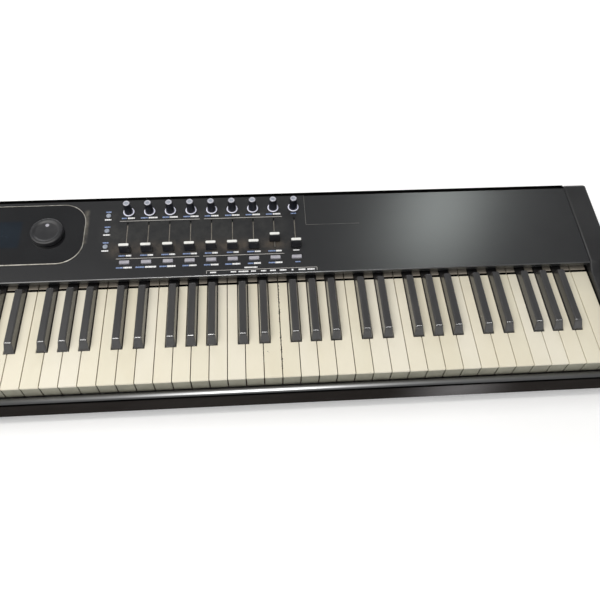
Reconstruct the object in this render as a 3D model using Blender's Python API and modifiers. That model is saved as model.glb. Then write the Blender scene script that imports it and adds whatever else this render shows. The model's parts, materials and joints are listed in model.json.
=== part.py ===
"""An 88-key controller keyboard with a sloping control panel, as separate pieces.

Every dimension below is in millimetres, and the helpers turn it into metres.
X runs along the keys from bass to treble, Y from the player to the rear, Z up.
The origin is on the floor, under the middle of the instrument.
"""

import math

import bmesh
import bpy
from mathutils import Matrix, Vector

MM = 0.001
GAP = 0.3
CUT_BEYOND = 5.0

# Keyboard
WHITE_PITCH = 23.5
WHITE_COUNT = 52
KEY_SLIT = 1.0
OCTAVE = 7 * WHITE_PITCH
KEYBED_HALF = WHITE_PITCH * WHITE_COUNT / 2
KEY_TOP = 77.0
KEY_FRONT = -141.5
HEAD_DEPTH = 50.0
HEAD_HEIGHT = 24.0
TAIL_HEIGHT = 14.0
TAIL_END = 78.2
SET_TAIL_END = 84.5
SET_BAR_FRONT = 79.5
SET_BAR_SPLIT = (69.0, 71.2)
BLACK_SLOT = 15.1
BLACK_WIDTH = 13.5
BLACK_TOP_WIDTH = 9.5
BLACK_RISE = 12.0
BLACK_FRONT_SLOPE = 9.0
BLACK_REAR_SLOPE = 1.7
BLACK_FOOT = 0.5
BLACK_FRONT = KEY_FRONT + HEAD_DEPTH + 0.5
BLACK_END = 4.5
BLACK_OFFSETS = {"C": -2.3, "D": 2.5, "F": -3.3, "G": 0.0, "A": 3.3}
WHITE_NAMES = "CDEFGAB"
MIDDLE_OCTAVE = 5

# Key action, in the YZ section
PIVOT = (73.5, 68.0)
ROD_RADIUS = 2.0
NOTCH_HALF = 2.3
SHEET = 2.0
FRONT_FLOOR = 39.6
MID_FLOOR = 49.0
FRAME_FOOT = 9.9
FRAME_HALF = 609.0
BOARD_SHEET = 1.6
CONTACT_ROW = -44.0

# Case
HALF_WIDTH = 646.0
END_CAP_INNER = 611.6
INNER_HALF = 611.3
DEPTH_HALF = 154.0
TRAY_BOTTOM = 8.0
TRAY_SHEET = 1.6
RAIL_TOP = 56.0

# Control panel: its own frame starts at the front edge, y up the slope, z out of the panel
PANEL_ANGLE = math.radians(3.0)
PANEL_ORIGIN = (10.0, 92.55)
PANEL_LENGTH = 140.4
COLUMNS = 9
COLUMN_PITCH = 30.0
FIRST_COLUMN = -47.0
KNOB_ROW = 116.0
KNOB_HEIGHT = 20.5
RING_OUTER = 15.8
RING_BORE = 13.4
FADER_LOW = 47.6
FADER_TRAVEL = 45.0
RAISED_FADER = 7
RAISED_BY = 11.0
SELECT_ROW = 27.1
SELECT_SIZE = (14.5, 6.2)
PAGE_X = -75.5
PAGE_ROWS = (54.9, 82.7, 109.9)
ROUND_BUTTON = 7.0
COMMAND_COLUMNS = (-380.0, -360.0, -340.0, -320.0, -300.0)
COMMAND_ROWS = (55.0, 95.0)
BUTTON_RISE = 1.5
PAD_CENTRE = (-452.0, 70.0)
PAD_PITCH = 24.0
PAD_SIZE = 21.0
BEZEL_X = (-276.5, -106.5)
BEZEL_Y = (28.5, 132.6)
BEZEL_RADIUS = 35.0
DIAL_CENTRE = (-158.0, 80.5)
DIAL_DIAMETER = 46.0
SHELF_LEFT = 210.0
SHELF_FRONT = 83.2
BOARD_TOP = -10.8
BEARING_BORE = 6.8
WEB = (-4.4, -2.6)
WHEEL_ROW = 106.0
WHEEL_RADIUS = 22.0
WHEEL_WIDTH = 14.0
WHEEL_RISE = 8.0
WHEEL_X = {"pitch_wheel": -578.0, "mod_wheel": -542.0}
AXLE = 6.0
# How far each wheel's finger notch leans towards the player at rest
NOTCH_LEAN = {"pitch_wheel": 0.0, "mod_wheel": math.radians(35.0)}

# Rear sockets: place along X and height of their row
SOCKET_Z = 42.0
JACK_XS = (495.0, 520.0, 545.0)
DIN_XS = (440.0, 466.0)
USB_X = 410.0
DC_X = 345.0
SWITCH_X = 377.0
SWITCH_TILT = math.radians(8.0)
SWITCH_OPENING = (7.0, 10.5)

COLOURS = {
    "charcoal": ((0.045, 0.047, 0.05), 0.45, 0.1),
    "black_plastic": ((0.02, 0.02, 0.022), 0.5, 0.0),
    "gloss_black": ((0.01, 0.01, 0.012), 0.12, 0.0),
    "ivory": ((0.86, 0.83, 0.74), 0.3, 0.0),
    "ebony": ((0.03, 0.03, 0.03), 0.4, 0.0),
    "silver": ((0.6, 0.6, 0.62), 0.35, 0.9),
    "steel": ((0.5, 0.5, 0.5), 0.35, 1.0),
    "white_plastic": ((0.85, 0.85, 0.83), 0.4, 0.0),
    "lavender_plastic": ((0.6, 0.59, 0.64), 0.45, 0.0),
    "diffuser": ((0.9, 0.9, 0.95), 0.5, 0.0),
    "rubber": ((0.025, 0.025, 0.025), 0.85, 0.0),
    "felt": ((0.25, 0.05, 0.05), 0.95, 0.0),
    "board_green": ((0.03, 0.16, 0.07), 0.5, 0.0),
}


def clear_scene():
    for old in list(bpy.data.objects):
        bpy.data.objects.remove(old)


def collection_named(name):
    made = bpy.data.collections.new(name)
    bpy.context.scene.collection.children.link(made)
    return made


clear_scene()
PARTS = collection_named("controller_keyboard")
CUTTERS = collection_named("cutters")
CUTTERS.hide_render = True


def material_named(name):
    """The Principled material of this colour name, made once."""
    if name in bpy.data.materials:
        return bpy.data.materials[name]
    colour, roughness, metallic = COLOURS[name]
    made = bpy.data.materials.new(name)
    made.use_nodes = True
    shader = made.node_tree.nodes["Principled BSDF"]
    shader.inputs["Base Color"].default_value = (*colour, 1.0)
    shader.inputs["Roughness"].default_value = roughness
    shader.inputs["Metallic"].default_value = metallic
    return made


# The empty that carries everything laid out on the sloping panel
PANEL_FRAME = bpy.data.objects.new("panel_frame", None)
PARTS.objects.link(PANEL_FRAME)
PANEL_FRAME.location = (0.0, PANEL_ORIGIN[0] * MM, PANEL_ORIGIN[1] * MM)
PANEL_FRAME.rotation_euler = (PANEL_ANGLE, 0.0, 0.0)


def place(obj, colour, parent=None, location=(0.0, 0.0, 0.0)):
    """Puts an object among the parts with its material, at a place in its parent's frame."""
    PARTS.objects.link(obj)
    obj.data.materials.clear()
    obj.data.materials.append(material_named(colour))
    obj.parent = parent
    obj.location = Vector(location) * MM
    return obj


def as_cutter(obj, parent=None):
    """Puts an object among the cutters, which are only drawn as wire."""
    CUTTERS.objects.link(obj)
    obj.parent = parent
    obj.hide_render = True
    obj.display_type = "WIRE"
    return obj


def add_box(bm, x, y, z):
    """A cuboid between the two values of each pair, in millimetres."""
    size = Vector((x[1] - x[0], y[1] - y[0], z[1] - z[0])) * MM
    centre = Vector((x[0] + x[1], y[0] + y[1], z[0] + z[1])) * MM / 2
    matrix = Matrix.Translation(centre) @ Matrix.Diagonal((*size, 1.0))
    return bmesh.ops.create_cube(bm, size=1.0, matrix=matrix)["verts"]


def add_cylinder(bm, centre, diameter, length, axis="Z", segments=16, top_diameter=None):
    """A capped cylinder or cone round a centre, its length along the named axis."""
    turns = {
        "X": Matrix.Rotation(math.pi / 2, 4, "Y"),
        "Y": Matrix.Rotation(-math.pi / 2, 4, "X"),
        "Z": Matrix(),
    }
    matrix = Matrix.Translation(Vector(centre) * MM) @ turns[axis]
    top = diameter if top_diameter is None else top_diameter
    bmesh.ops.create_cone(
        bm,
        cap_ends=True,
        segments=segments,
        radius1=diameter * MM / 2,
        radius2=top * MM / 2,
        depth=length * MM,
        matrix=matrix,
    )


def solid(name, fill):
    """An object whose mesh is made by fill(bm), a function that adds primitives."""
    bm = bmesh.new()
    fill(bm)
    mesh = bpy.data.meshes.new(name)
    bm.to_mesh(mesh)
    bm.free()
    return bpy.data.objects.new(name, mesh)


def extruded(name, outlines, thickness, middle, across):
    """Flat outlines given thickness: across is the axis of the thickness, middle its mid-plane."""
    curve = bpy.data.curves.new(name, "CURVE")
    curve.dimensions = "2D"
    curve.fill_mode = "BOTH"
    curve.extrude = thickness * MM / 2
    for outline in outlines:
        spline = curve.splines.new("POLY")
        spline.points.add(len(outline) - 1)
        spline.use_cyclic_u = True
        for point, (first, second) in zip(spline.points, outline):
            point.co = (first * MM, second * MM, 0.0, 1.0)
    # Local x, y and z become Y, Z and X, or Z, X and Y, or stay as they are
    turns = {
        "X": Matrix(((0, 0, 1), (1, 0, 0), (0, 1, 0))),
        "Y": Matrix(((1, 0, 0), (0, 0, -1), (0, 1, 0))),
        "Z": Matrix(((1, 0, 0), (0, 1, 0), (0, 0, 1))),
    }
    shift = {"X": (middle, 0, 0), "Y": (0, middle, 0), "Z": (0, 0, middle)}[across]
    source = bpy.data.objects.new(name + "_outline", curve)
    CUTTERS.objects.link(source)
    bpy.context.view_layer.update()
    graph = bpy.context.evaluated_depsgraph_get()
    mesh = bpy.data.meshes.new_from_object(source.evaluated_get(graph))
    bpy.data.objects.remove(source)
    mesh.name = name
    mesh.transform(Matrix.Translation(Vector(shift) * MM) @ turns[across].to_4x4())
    bm = bmesh.new()
    bm.from_mesh(mesh)
    bmesh.ops.remove_doubles(bm, verts=bm.verts, dist=0.00001)
    bmesh.ops.recalc_face_normals(bm, faces=bm.faces)
    bm.to_mesh(mesh)
    bm.free()
    return bpy.data.objects.new(name, mesh)


def turned(name, profile, segments):
    """A turned solid: profile holds (radius, height) pairs from the top to the bottom."""
    mesh = bpy.data.meshes.new(name)
    points = [(radius * MM, 0.0, height * MM) for radius, height in profile]
    mesh.from_pydata(points, [(i, i + 1) for i in range(len(points) - 1)], [])
    obj = bpy.data.objects.new(name, mesh)
    screw = obj.modifiers.new("turn", "SCREW")
    screw.steps = segments
    screw.render_steps = segments
    screw.use_merge_vertices = True
    screw.merge_threshold = 0.00001
    return obj


def rounded_rectangle(x, y, radius, steps=6):
    """The corners of a rectangle with round corners, anticlockwise."""
    corners = (
        (x[1] - radius, y[0] + radius, -90),
        (x[1] - radius, y[1] - radius, 0),
        (x[0] + radius, y[1] - radius, 90),
        (x[0] + radius, y[0] + radius, 180),
    )
    points = []
    for centre_x, centre_y, start in corners:
        for step in range(steps + 1):
            angle = math.radians(start + 90 * step / steps)
            points.append((centre_x + radius * math.cos(angle), centre_y + radius * math.sin(angle)))
    return points


def combine(obj, other, operation, parent=None):
    """Adds a Boolean of another object, which becomes a cutter."""
    as_cutter(other, parent)
    modifier = obj.modifiers.new(operation.lower(), "BOOLEAN")
    modifier.operation = operation
    modifier.object = other
    return obj


def cut(obj, other, parent=None):
    return combine(obj, other, "DIFFERENCE", parent)


def join(obj, other, parent=None):
    return combine(obj, other, "UNION", parent)


def rounded(obj, width, segments=1, limit=35.0):
    """Rounds the object's edges that are sharper than the limit."""
    bevel = obj.modifiers.new("rounding", "BEVEL")
    bevel.width = width * MM
    bevel.segments = segments
    bevel.limit_method = "ANGLE"
    bevel.angle_limit = math.radians(limit)
    return obj


def on_panel(up_slope, out):
    """Y and Z of a point of the panel's own frame."""
    y = PANEL_ORIGIN[0] + up_slope * math.cos(PANEL_ANGLE) - out * math.sin(PANEL_ANGLE)
    z = PANEL_ORIGIN[1] + up_slope * math.sin(PANEL_ANGLE) + out * math.cos(PANEL_ANGLE)
    return y, z


def column_x(column):
    return FIRST_COLUMN + COLUMN_PITCH * column


# ---------------------------------------------------------------- keyboard layout


def white_keys():
    """Each white key's name, left boundary and the sides on which a black key cuts its tail."""
    first_c = -KEYBED_HALF + 2 * WHITE_PITCH
    for index in range(WHITE_COUNT):
        letter = WHITE_NAMES[(index + 5) % 7]
        octave = (index + 5) // 7
        left = -KEYBED_HALF + index * WHITE_PITCH
        octave_left = first_c + (octave - 1) * OCTAVE
        before = WHITE_NAMES[(index + 4) % 7]
        notch_left = index > 0 and before in BLACK_OFFSETS
        notch_right = index < WHITE_COUNT - 1 and letter in BLACK_OFFSETS
        yield letter, octave, left, octave_left, before if notch_left else None, notch_right


def black_keys():
    """Each black key's letter, octave and centre."""
    for letter, octave, left, _, _, notch_right in white_keys():
        if notch_right:
            yield letter, octave, left + WHITE_PITCH + BLACK_OFFSETS[letter]


def white_outline(key, rear):
    """The plan of a white key: a wide head, and a tail between its black neighbours."""
    letter, _, left, _, before, notch_right = key
    head = (left + KEY_SLIT / 2, left + WHITE_PITCH - KEY_SLIT / 2)
    tail_left = head[0]
    tail_right = head[1]
    if before:
        tail_left = left + BLACK_OFFSETS[before] + BLACK_SLOT / 2
    if notch_right:
        tail_right = left + WHITE_PITCH + BLACK_OFFSETS[letter] - BLACK_SLOT / 2
    shoulder = KEY_FRONT + HEAD_DEPTH
    points = [(head[0], KEY_FRONT), (head[1], KEY_FRONT)]
    if notch_right:
        points += [(head[1], shoulder), (tail_right, shoulder)]
    points += [(tail_right, rear), (tail_left, rear)]
    if before:
        points += [(tail_left, shoulder), (head[0], shoulder)]
    return points


def section_cutter(name, y, z):
    """A long bar that cuts the same section out of every key it crosses."""
    x = (-KEYBED_HALF - CUT_BEYOND, KEYBED_HALF + CUT_BEYOND)
    return solid(name, lambda bm: add_box(bm, x, y, z))


def white_solid(name, keys, rear):
    """White keys with a deep head, a thinner tail and an open notch over the pivot rod."""
    outlines = [white_outline(key, rear) for key in keys]
    bottom = KEY_TOP - HEAD_HEIGHT
    obj = extruded(name, outlines, HEAD_HEIGHT, (KEY_TOP + bottom) / 2, "Z")
    tail_y = (KEY_FRONT + HEAD_DEPTH, rear + CUT_BEYOND)
    cut(obj, section_cutter(name + "_under_tail", tail_y, (bottom - CUT_BEYOND, KEY_TOP - TAIL_HEIGHT)))
    notch = (PIVOT[0] - NOTCH_HALF, PIVOT[0] + NOTCH_HALF)
    cut(obj, section_cutter(name + "_notch", notch, (bottom, PIVOT[1] + NOTCH_HALF)))
    return obj


def add_black_body(bm, centre, rear):
    half = BLACK_WIDTH / 2
    height = (KEY_TOP - TAIL_HEIGHT, KEY_TOP + BLACK_FOOT)
    add_box(bm, (centre - half, centre + half), (BLACK_FRONT, rear), height)


def add_black_top(bm, centre):
    """The raised part of a black key, which narrows upwards and slopes at its front."""
    half = BLACK_WIDTH / 2
    height = (KEY_TOP, KEY_TOP + BLACK_RISE)
    corners = add_box(bm, (centre - half, centre + half), (BLACK_FRONT, BLACK_END), height)
    for corner in corners:
        if corner.co.z < sum(height) / 2 * MM:
            continue
        side = 1 if corner.co.x > centre * MM else -1
        at_front = corner.co.y < (BLACK_FRONT + BLACK_END) / 2 * MM
        corner.co.x = (centre + side * BLACK_TOP_WIDTH / 2) * MM
        corner.co.y += (BLACK_FRONT_SLOPE if at_front else -BLACK_REAR_SLOPE) * MM


def black_solid(name, centres, rear):
    def fill_bodies(bm):
        for centre in centres:
            add_black_body(bm, centre, rear)

    def fill_tops(bm):
        for centre in centres:
            add_black_top(bm, centre)

    obj = solid(name, fill_bodies)
    join(obj, solid(name + "_tops", fill_tops))
    notch = (PIVOT[0] - NOTCH_HALF, PIVOT[0] + NOTCH_HALF)
    low = KEY_TOP - TAIL_HEIGHT - CUT_BEYOND
    cut(obj, section_cutter(name + "_notch", notch, (low, PIVOT[1] + NOTCH_HALF)))
    return obj


def hang_on_pivot(obj):
    """Moves an object's origin onto the keys' pivot axis without moving its shape."""
    pivot = Vector((0.0, *PIVOT)) * MM
    obj.data.transform(Matrix.Translation(-pivot))
    obj.location = pivot
    for modifier in obj.modifiers:
        modifier.object.parent = None
    return obj


def make_keys():
    """One octave of single keys, and every other key in a white and a black set on a rear bar."""
    single_whites = [key for key in white_keys() if key[1] == MIDDLE_OCTAVE]
    for key in single_whites:
        name = f"key_{key[0]}{key[1]}"
        hang_on_pivot(place(white_solid(name, [key], TAIL_END), "ivory"))
    for letter, octave, centre in black_keys():
        if octave == MIDDLE_OCTAVE:
            name = f"key_{letter}sharp{octave}"
            hang_on_pivot(place(black_solid(name, [centre], TAIL_END), "ebony"))

    bar_inset = 1.0
    bar_gap = 0.8
    bar_x = (-KEYBED_HALF + bar_inset, KEYBED_HALF - bar_inset)
    bar_y = (SET_BAR_FRONT, SET_TAIL_END)
    low_split, high_split = SET_BAR_SPLIT
    tail_bottom = KEY_TOP - TAIL_HEIGHT
    beyond = (SET_BAR_FRONT - bar_gap, SET_TAIL_END + CUT_BEYOND)

    others = [key for key in white_keys() if key[1] != MIDDLE_OCTAVE]
    whites = white_solid("white_keys", others, SET_TAIL_END)
    cut(whites, section_cutter("white_keys_end", beyond, (low_split, KEY_TOP + CUT_BEYOND)))
    join(whites, solid("white_keys_bar", lambda bm: add_box(bm, bar_x, bar_y, (tail_bottom, low_split))))
    hang_on_pivot(place(whites, "ivory"))

    centres = [centre for _, octave, centre in black_keys() if octave != MIDDLE_OCTAVE]
    blacks = black_solid("black_keys", centres, SET_TAIL_END)
    cut(blacks, section_cutter("black_keys_end", beyond, (tail_bottom - CUT_BEYOND, high_split)))
    bar_z = (high_split, KEY_TOP + BLACK_FOOT)
    join(blacks, solid("black_keys_bar", lambda bm: add_box(bm, bar_x, bar_y, bar_z)))
    hang_on_pivot(place(blacks, "ebony"))


# ---------------------------------------------------------------- key action


def make_key_frame():
    """The steel frame: floors under the keys, a web under the rod, a rear post and three legs."""
    pivot_y, pivot_z = PIVOT
    web = (pivot_y - SHEET / 2, pivot_y + SHEET / 2)
    web_top = pivot_z - ROD_RADIUS - GAP
    post = (88.5, 90.5)
    post_top = 78.3
    front_low = FRONT_FLOOR - SHEET
    mid_low = MID_FLOOR - SHEET
    front = -139.0
    step = -88.0
    front_leg = -127.0
    mid_leg = -2.0
    outline = [
        (front, FRONT_FLOOR),
        (step, FRONT_FLOOR),
        (step, MID_FLOOR),
        (web[0], MID_FLOOR),
        (web[0], web_top),
        (web[1], web_top),
        (web[1], MID_FLOOR),
        (post[0], MID_FLOOR),
        (post[0], post_top),
        (post[1], post_top),
        (post[1], FRAME_FOOT),
        (post[0], FRAME_FOOT),
        (post[0], mid_low),
        (mid_leg + SHEET, mid_low),
        (mid_leg + SHEET, FRAME_FOOT),
        (mid_leg, FRAME_FOOT),
        (mid_leg, mid_low),
        (step + SHEET, mid_low),
        (step + SHEET, front_low),
        (front_leg + SHEET, front_low),
        (front_leg + SHEET, FRAME_FOOT),
        (front_leg, FRAME_FOOT),
        (front_leg, front_low),
        (front, front_low),
    ]
    place(extruded("key_frame", [outline], 2 * FRAME_HALF, 0.0, "X"), "steel")


def make_pivot_rod():
    rod = solid(
        "pivot_rod",
        lambda bm: add_cylinder(bm, (0, *PIVOT), 2 * ROD_RADIUS, 2 * FRAME_HALF, "X", 16),
    )
    place(rod, "steel")


def make_key_stop_felt():
    x = (-FRAME_HALF + 1, FRAME_HALF - 1)
    y = (-133.5, -101.5)
    low = FRONT_FLOOR + GAP
    thickness = 3.0
    felt = solid("key_stop_felt", lambda bm: add_box(bm, x, y, (low, low + thickness)))
    place(felt, "felt")


def key_centres():
    """The middle of each key's tail."""
    for letter, _, left, _, before, notch_right in white_keys():
        low = left + (BLACK_OFFSETS[before] + BLACK_SLOT / 2 if before else KEY_SLIT / 2)
        high = left + WHITE_PITCH - KEY_SLIT / 2
        if notch_right:
            high = left + WHITE_PITCH + BLACK_OFFSETS[letter] - BLACK_SLOT / 2
        yield (low + high) / 2
    for _, _, centre in black_keys():
        yield centre


def make_contacts():
    """The contact board, and the rubber strip with a dome under each key."""
    board_half = 600.0
    board_reach = 27.5
    board_y = (CONTACT_ROW - board_reach, CONTACT_ROW + board_reach)
    board_z = (MID_FLOOR + GAP, MID_FLOOR + GAP + BOARD_SHEET)
    board = solid("contact_board", lambda bm: add_box(bm, (-board_half, board_half), board_y, board_z))
    place(board, "board_green")

    strip_half = FRAME_HALF - 1
    strip_reach = 12.0
    strip_y = (CONTACT_ROW - strip_reach, CONTACT_ROW + strip_reach)
    strip_z = (board_z[1] + GAP, board_z[1] + GAP + 1.2)
    strip = solid("contact_strip", lambda bm: add_box(bm, (-strip_half, strip_half), strip_y, strip_z))

    def fill_domes(bm):
        height = 4.4
        sunk = 0.4
        foot = 9.0
        head = 6.0
        middle = strip_z[1] - sunk + height / 2
        for centre in key_centres():
            add_cylinder(bm, (centre, CONTACT_ROW, middle), foot, height, "Z", 4, top_diameter=head)

    join(strip, solid("contact_domes", fill_domes))
    place(strip, "rubber")


def make_key_spring_comb():
    """A sheet steel comb on the rear post, with one leaf over the tail of each key."""
    z = (78.6, 79.2)
    spine_y = (86.0, 92.0)
    leaf_y = (76.0, 87.0)
    leaf_half = 3.5
    comb = solid("key_spring_comb", lambda bm: add_box(bm, (-FRAME_HALF, FRAME_HALF), spine_y, z))

    def fill_leaves(bm):
        for centre in key_centres():
            add_box(bm, (centre - leaf_half, centre + leaf_half), leaf_y, z)

    join(comb, solid("spring_leaves", fill_leaves))
    place(comb, "steel")


# ---------------------------------------------------------------- case


def make_bottom_tray():
    """The floor pan, with a low flange up each end."""
    high = TRAY_BOTTOM + TRAY_SHEET
    flange = INNER_HALF - TRAY_SHEET
    flange_top = 22.0
    outline = [
        (-INNER_HALF, TRAY_BOTTOM),
        (INNER_HALF, TRAY_BOTTOM),
        (INNER_HALF, flange_top),
        (flange, flange_top),
        (flange, high),
        (-flange, high),
        (-flange, flange_top),
        (-INNER_HALF, flange_top),
    ]
    y = (-131.2, 150.4)
    place(extruded("bottom_tray", [outline], y[1] - y[0], sum(y) / 2, "Y"), "charcoal")


def make_feet():
    """Two long rubber feet with round ends, one under each end."""
    foot_x = 560.0
    half = 15.0
    y = (-115.0, 130.0)
    height = TRAY_BOTTOM - GAP
    for side, name in ((-1, "left_foot"), (1, "right_foot")):
        x = (side * foot_x - half, side * foot_x + half)
        outline = rounded_rectangle(x, y, half - 0.1, 5)
        place(extruded(name, [outline], height, height / 2, "Z"), "rubber")


def make_front_rail():
    """The trim along the front: a top strip with a round nose, a tall face and a slope to the tray."""
    inner_y = -144.0
    wall = 2.5
    face = -DEPTH_HALF
    low = 20.0
    back = -131.5
    outline = [
        (inner_y, RAIL_TOP),
        (face + 5.5, RAIL_TOP),
        (face + 3.4, RAIL_TOP - 0.3),
        (face + 1.6, RAIL_TOP - 1.0),
        (face + 0.5, RAIL_TOP - 2.1),
        (face, RAIL_TOP - 3.6),
        (face, low + 3),
        (face + 1.0, low),
        (back, TRAY_BOTTOM),
        (back, TRAY_BOTTOM + wall),
        (face + wall + 0.7, low + 1.5),
        (face + wall, low + 3.5),
        (face + wall, RAIL_TOP - 2 * wall),
        (face + 2 * wall, RAIL_TOP - wall),
        (inner_y, RAIL_TOP - wall),
    ]
    place(extruded("front_rail", [outline], 2 * INNER_HALF, 0.0, "X"), "silver")


def make_end_cap(name, side):
    """A moulded cheek that closes one end, hollow from its inner side."""
    # It stands this far over the panel beside it
    lift = 1.5
    panel_front = on_panel(2.0, lift)
    panel_rear = on_panel(139.0, lift)
    outline = [
        (-DEPTH_HALF, 22.0),
        (-DEPTH_HALF, 66.0),
        (-152.0, 74.0),
        (-147.0, 80.5),
        (-139.0, 84.0),
        (-4.0, 86.5),
        (4.0, 89.0),
        panel_front,
        panel_rear,
        (153.0, panel_rear[1] - 2.5),
        (DEPTH_HALF, panel_rear[1] - 7.0),
        (DEPTH_HALF, 12.0),
        (150.0, TRAY_BOTTOM),
        (-131.0, TRAY_BOTTOM),
    ]
    middle = side * (END_CAP_INNER + HALF_WIDTH) / 2
    cap = extruded(name, [outline], HALF_WIDTH - END_CAP_INNER, middle, "X")
    rounded(cap, 3.0, 2, 60.0)
    wall = 4.0
    x = sorted((side * (END_CAP_INNER - CUT_BEYOND), side * (HALF_WIDTH - wall)))
    low_pocket = solid(name + "_pocket", lambda bm: add_box(bm, x, (-136.0, 148.0), (13.0, 79.0)))
    high_pocket = solid(name + "_upper_pocket", lambda bm: add_box(bm, x, (14.0, 146.0), (70.0, 89.0)))
    cut(cap, low_pocket)
    cut(cap, high_pocket)
    place(cap, "black_plastic")


def make_rear_panel():
    """The rear plate with the socket holes and the switch opening."""
    y = (150.7, 153.7)
    z = (TRAY_BOTTOM, 99.3)
    plate = solid("rear_panel", lambda bm: add_box(bm, (-INNER_HALF, INNER_HALF), y, z))
    jack_hole = 12.0
    din_hole = 16.8
    dc_hole = 11.8
    usb_half_x = 6.5
    usb_half_z = 6.0

    def fill_holes(bm):
        middle = sum(y) / 2
        through = (y[0] - 3, y[1] + 3)
        length = through[1] - through[0]
        for x in JACK_XS:
            add_cylinder(bm, (x, middle, SOCKET_Z), jack_hole, length, "Y", 12)
        for x in DIN_XS:
            add_cylinder(bm, (x, middle, SOCKET_Z), din_hole, length, "Y")
        add_cylinder(bm, (DC_X, middle, SOCKET_Z), dc_hole, length, "Y", 12)
        usb_z = (SOCKET_Z - usb_half_z, SOCKET_Z + usb_half_z)
        add_box(bm, (USB_X - usb_half_x, USB_X + usb_half_x), through, usb_z)
        half_x, half_z = SWITCH_OPENING
        add_box(bm, (SWITCH_X - half_x, SWITCH_X + half_x), through, (SOCKET_Z - half_z, SOCKET_Z + half_z))

    cut(plate, solid("rear_holes", fill_holes))
    place(plate, "charcoal")


# ---------------------------------------------------------------- control panel


def make_top_panel():
    """The folded top sheet: a front lip with a return flange, the slope and a rear flange."""
    front = 9.5
    lip_low = 86.5
    flange_rear = 29.5
    rear = on_panel(PANEL_LENGTH, 0.0)
    rear_inner = on_panel(PANEL_LENGTH - SHEET, -SHEET)
    edge = on_panel(0.6, 0.0)
    outline = [
        (front, lip_low),
        (front, PANEL_ORIGIN[1] - 0.9),
        edge,
        rear,
        (rear[0], 88.0),
        (rear[0] - SHEET, 88.0),
        (rear[0] - SHEET, rear_inner[1]),
        on_panel(2.2, -SHEET),
        (front + SHEET, PANEL_ORIGIN[1] - SHEET - 0.9),
        (front + SHEET, lip_low + SHEET),
        (flange_rear, lip_low + SHEET),
        (flange_rear, lip_low),
    ]
    panel = extruded("top_panel", [outline], 2 * INNER_HALF, 0.0, "X")
    through = (-SHEET - 1.5, 2.0)
    middle = sum(through) / 2
    length = through[1] - through[0]
    slot_half = 1.5
    slot_y = (FADER_LOW - 3.2, FADER_LOW + FADER_TRAVEL + 3.2)
    fit = 0.4
    wheel_slot_y = (WHEEL_ROW - 19.5, WHEEL_ROW + 19.5)
    dial_hole = 20.0
    shelf_drop = 0.5

    def fill_holes(bm):
        for column in range(COLUMNS):
            x = column_x(column)
            add_cylinder(bm, (x, KNOB_ROW, middle), RING_OUTER + 2 * fit, length)
            add_box(bm, (x - slot_half, x + slot_half), slot_y, through)
            half_x, half_y = SELECT_SIZE[0] / 2 + GAP, SELECT_SIZE[1] / 2 + GAP
            add_box(bm, (x - half_x, x + half_x), (SELECT_ROW - half_y, SELECT_ROW + half_y), through)
        for x, y in page_places() + command_places():
            add_cylinder(bm, (x, y, middle), ROUND_BUTTON + 2 * GAP, length, "Z", 12)
        for x, y in pad_places():
            half = PAD_SIZE / 2 + fit
            add_box(bm, (x - half, x + half), (y - half, y + half), through)
        for x in WHEEL_X.values():
            half = WHEEL_WIDTH / 2 + 2 * fit
            add_box(bm, (x - half, x + half), wheel_slot_y, (-SHEET - 3, 3.0))
        add_cylinder(bm, (*DIAL_CENTRE, middle), dial_hole, length)

    cut(panel, solid("panel_holes", fill_holes), PANEL_FRAME)
    seat_x = (BEZEL_X[0] - fit, BEZEL_X[1] + fit)
    seat_y = (BEZEL_Y[0] - fit, BEZEL_Y[1] + fit)
    seat_outline = rounded_rectangle(seat_x, seat_y, BEZEL_RADIUS + fit)
    cut(panel, extruded("bezel_seat", [seat_outline], 3.0, GAP, "Z"), PANEL_FRAME)
    shelf_x = (SHELF_LEFT, INNER_HALF + CUT_BEYOND)
    shelf_y = (SHELF_FRONT, PANEL_LENGTH + 9)
    shelf = solid("shelf_step", lambda bm: add_box(bm, shelf_x, shelf_y, (-shelf_drop, 3.0)))
    cut(panel, shelf, PANEL_FRAME)
    place(panel, "charcoal")


def page_places():
    return [(PAGE_X, y) for y in PAGE_ROWS]


def command_places():
    return [(x, y) for y in COMMAND_ROWS for x in COMMAND_COLUMNS]


def pad_places():
    steps = [PAD_PITCH * (index - 1.5) for index in range(4)]
    return [(PAD_CENTRE[0] + across, PAD_CENTRE[1] + up) for up in steps for across in steps]


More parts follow.
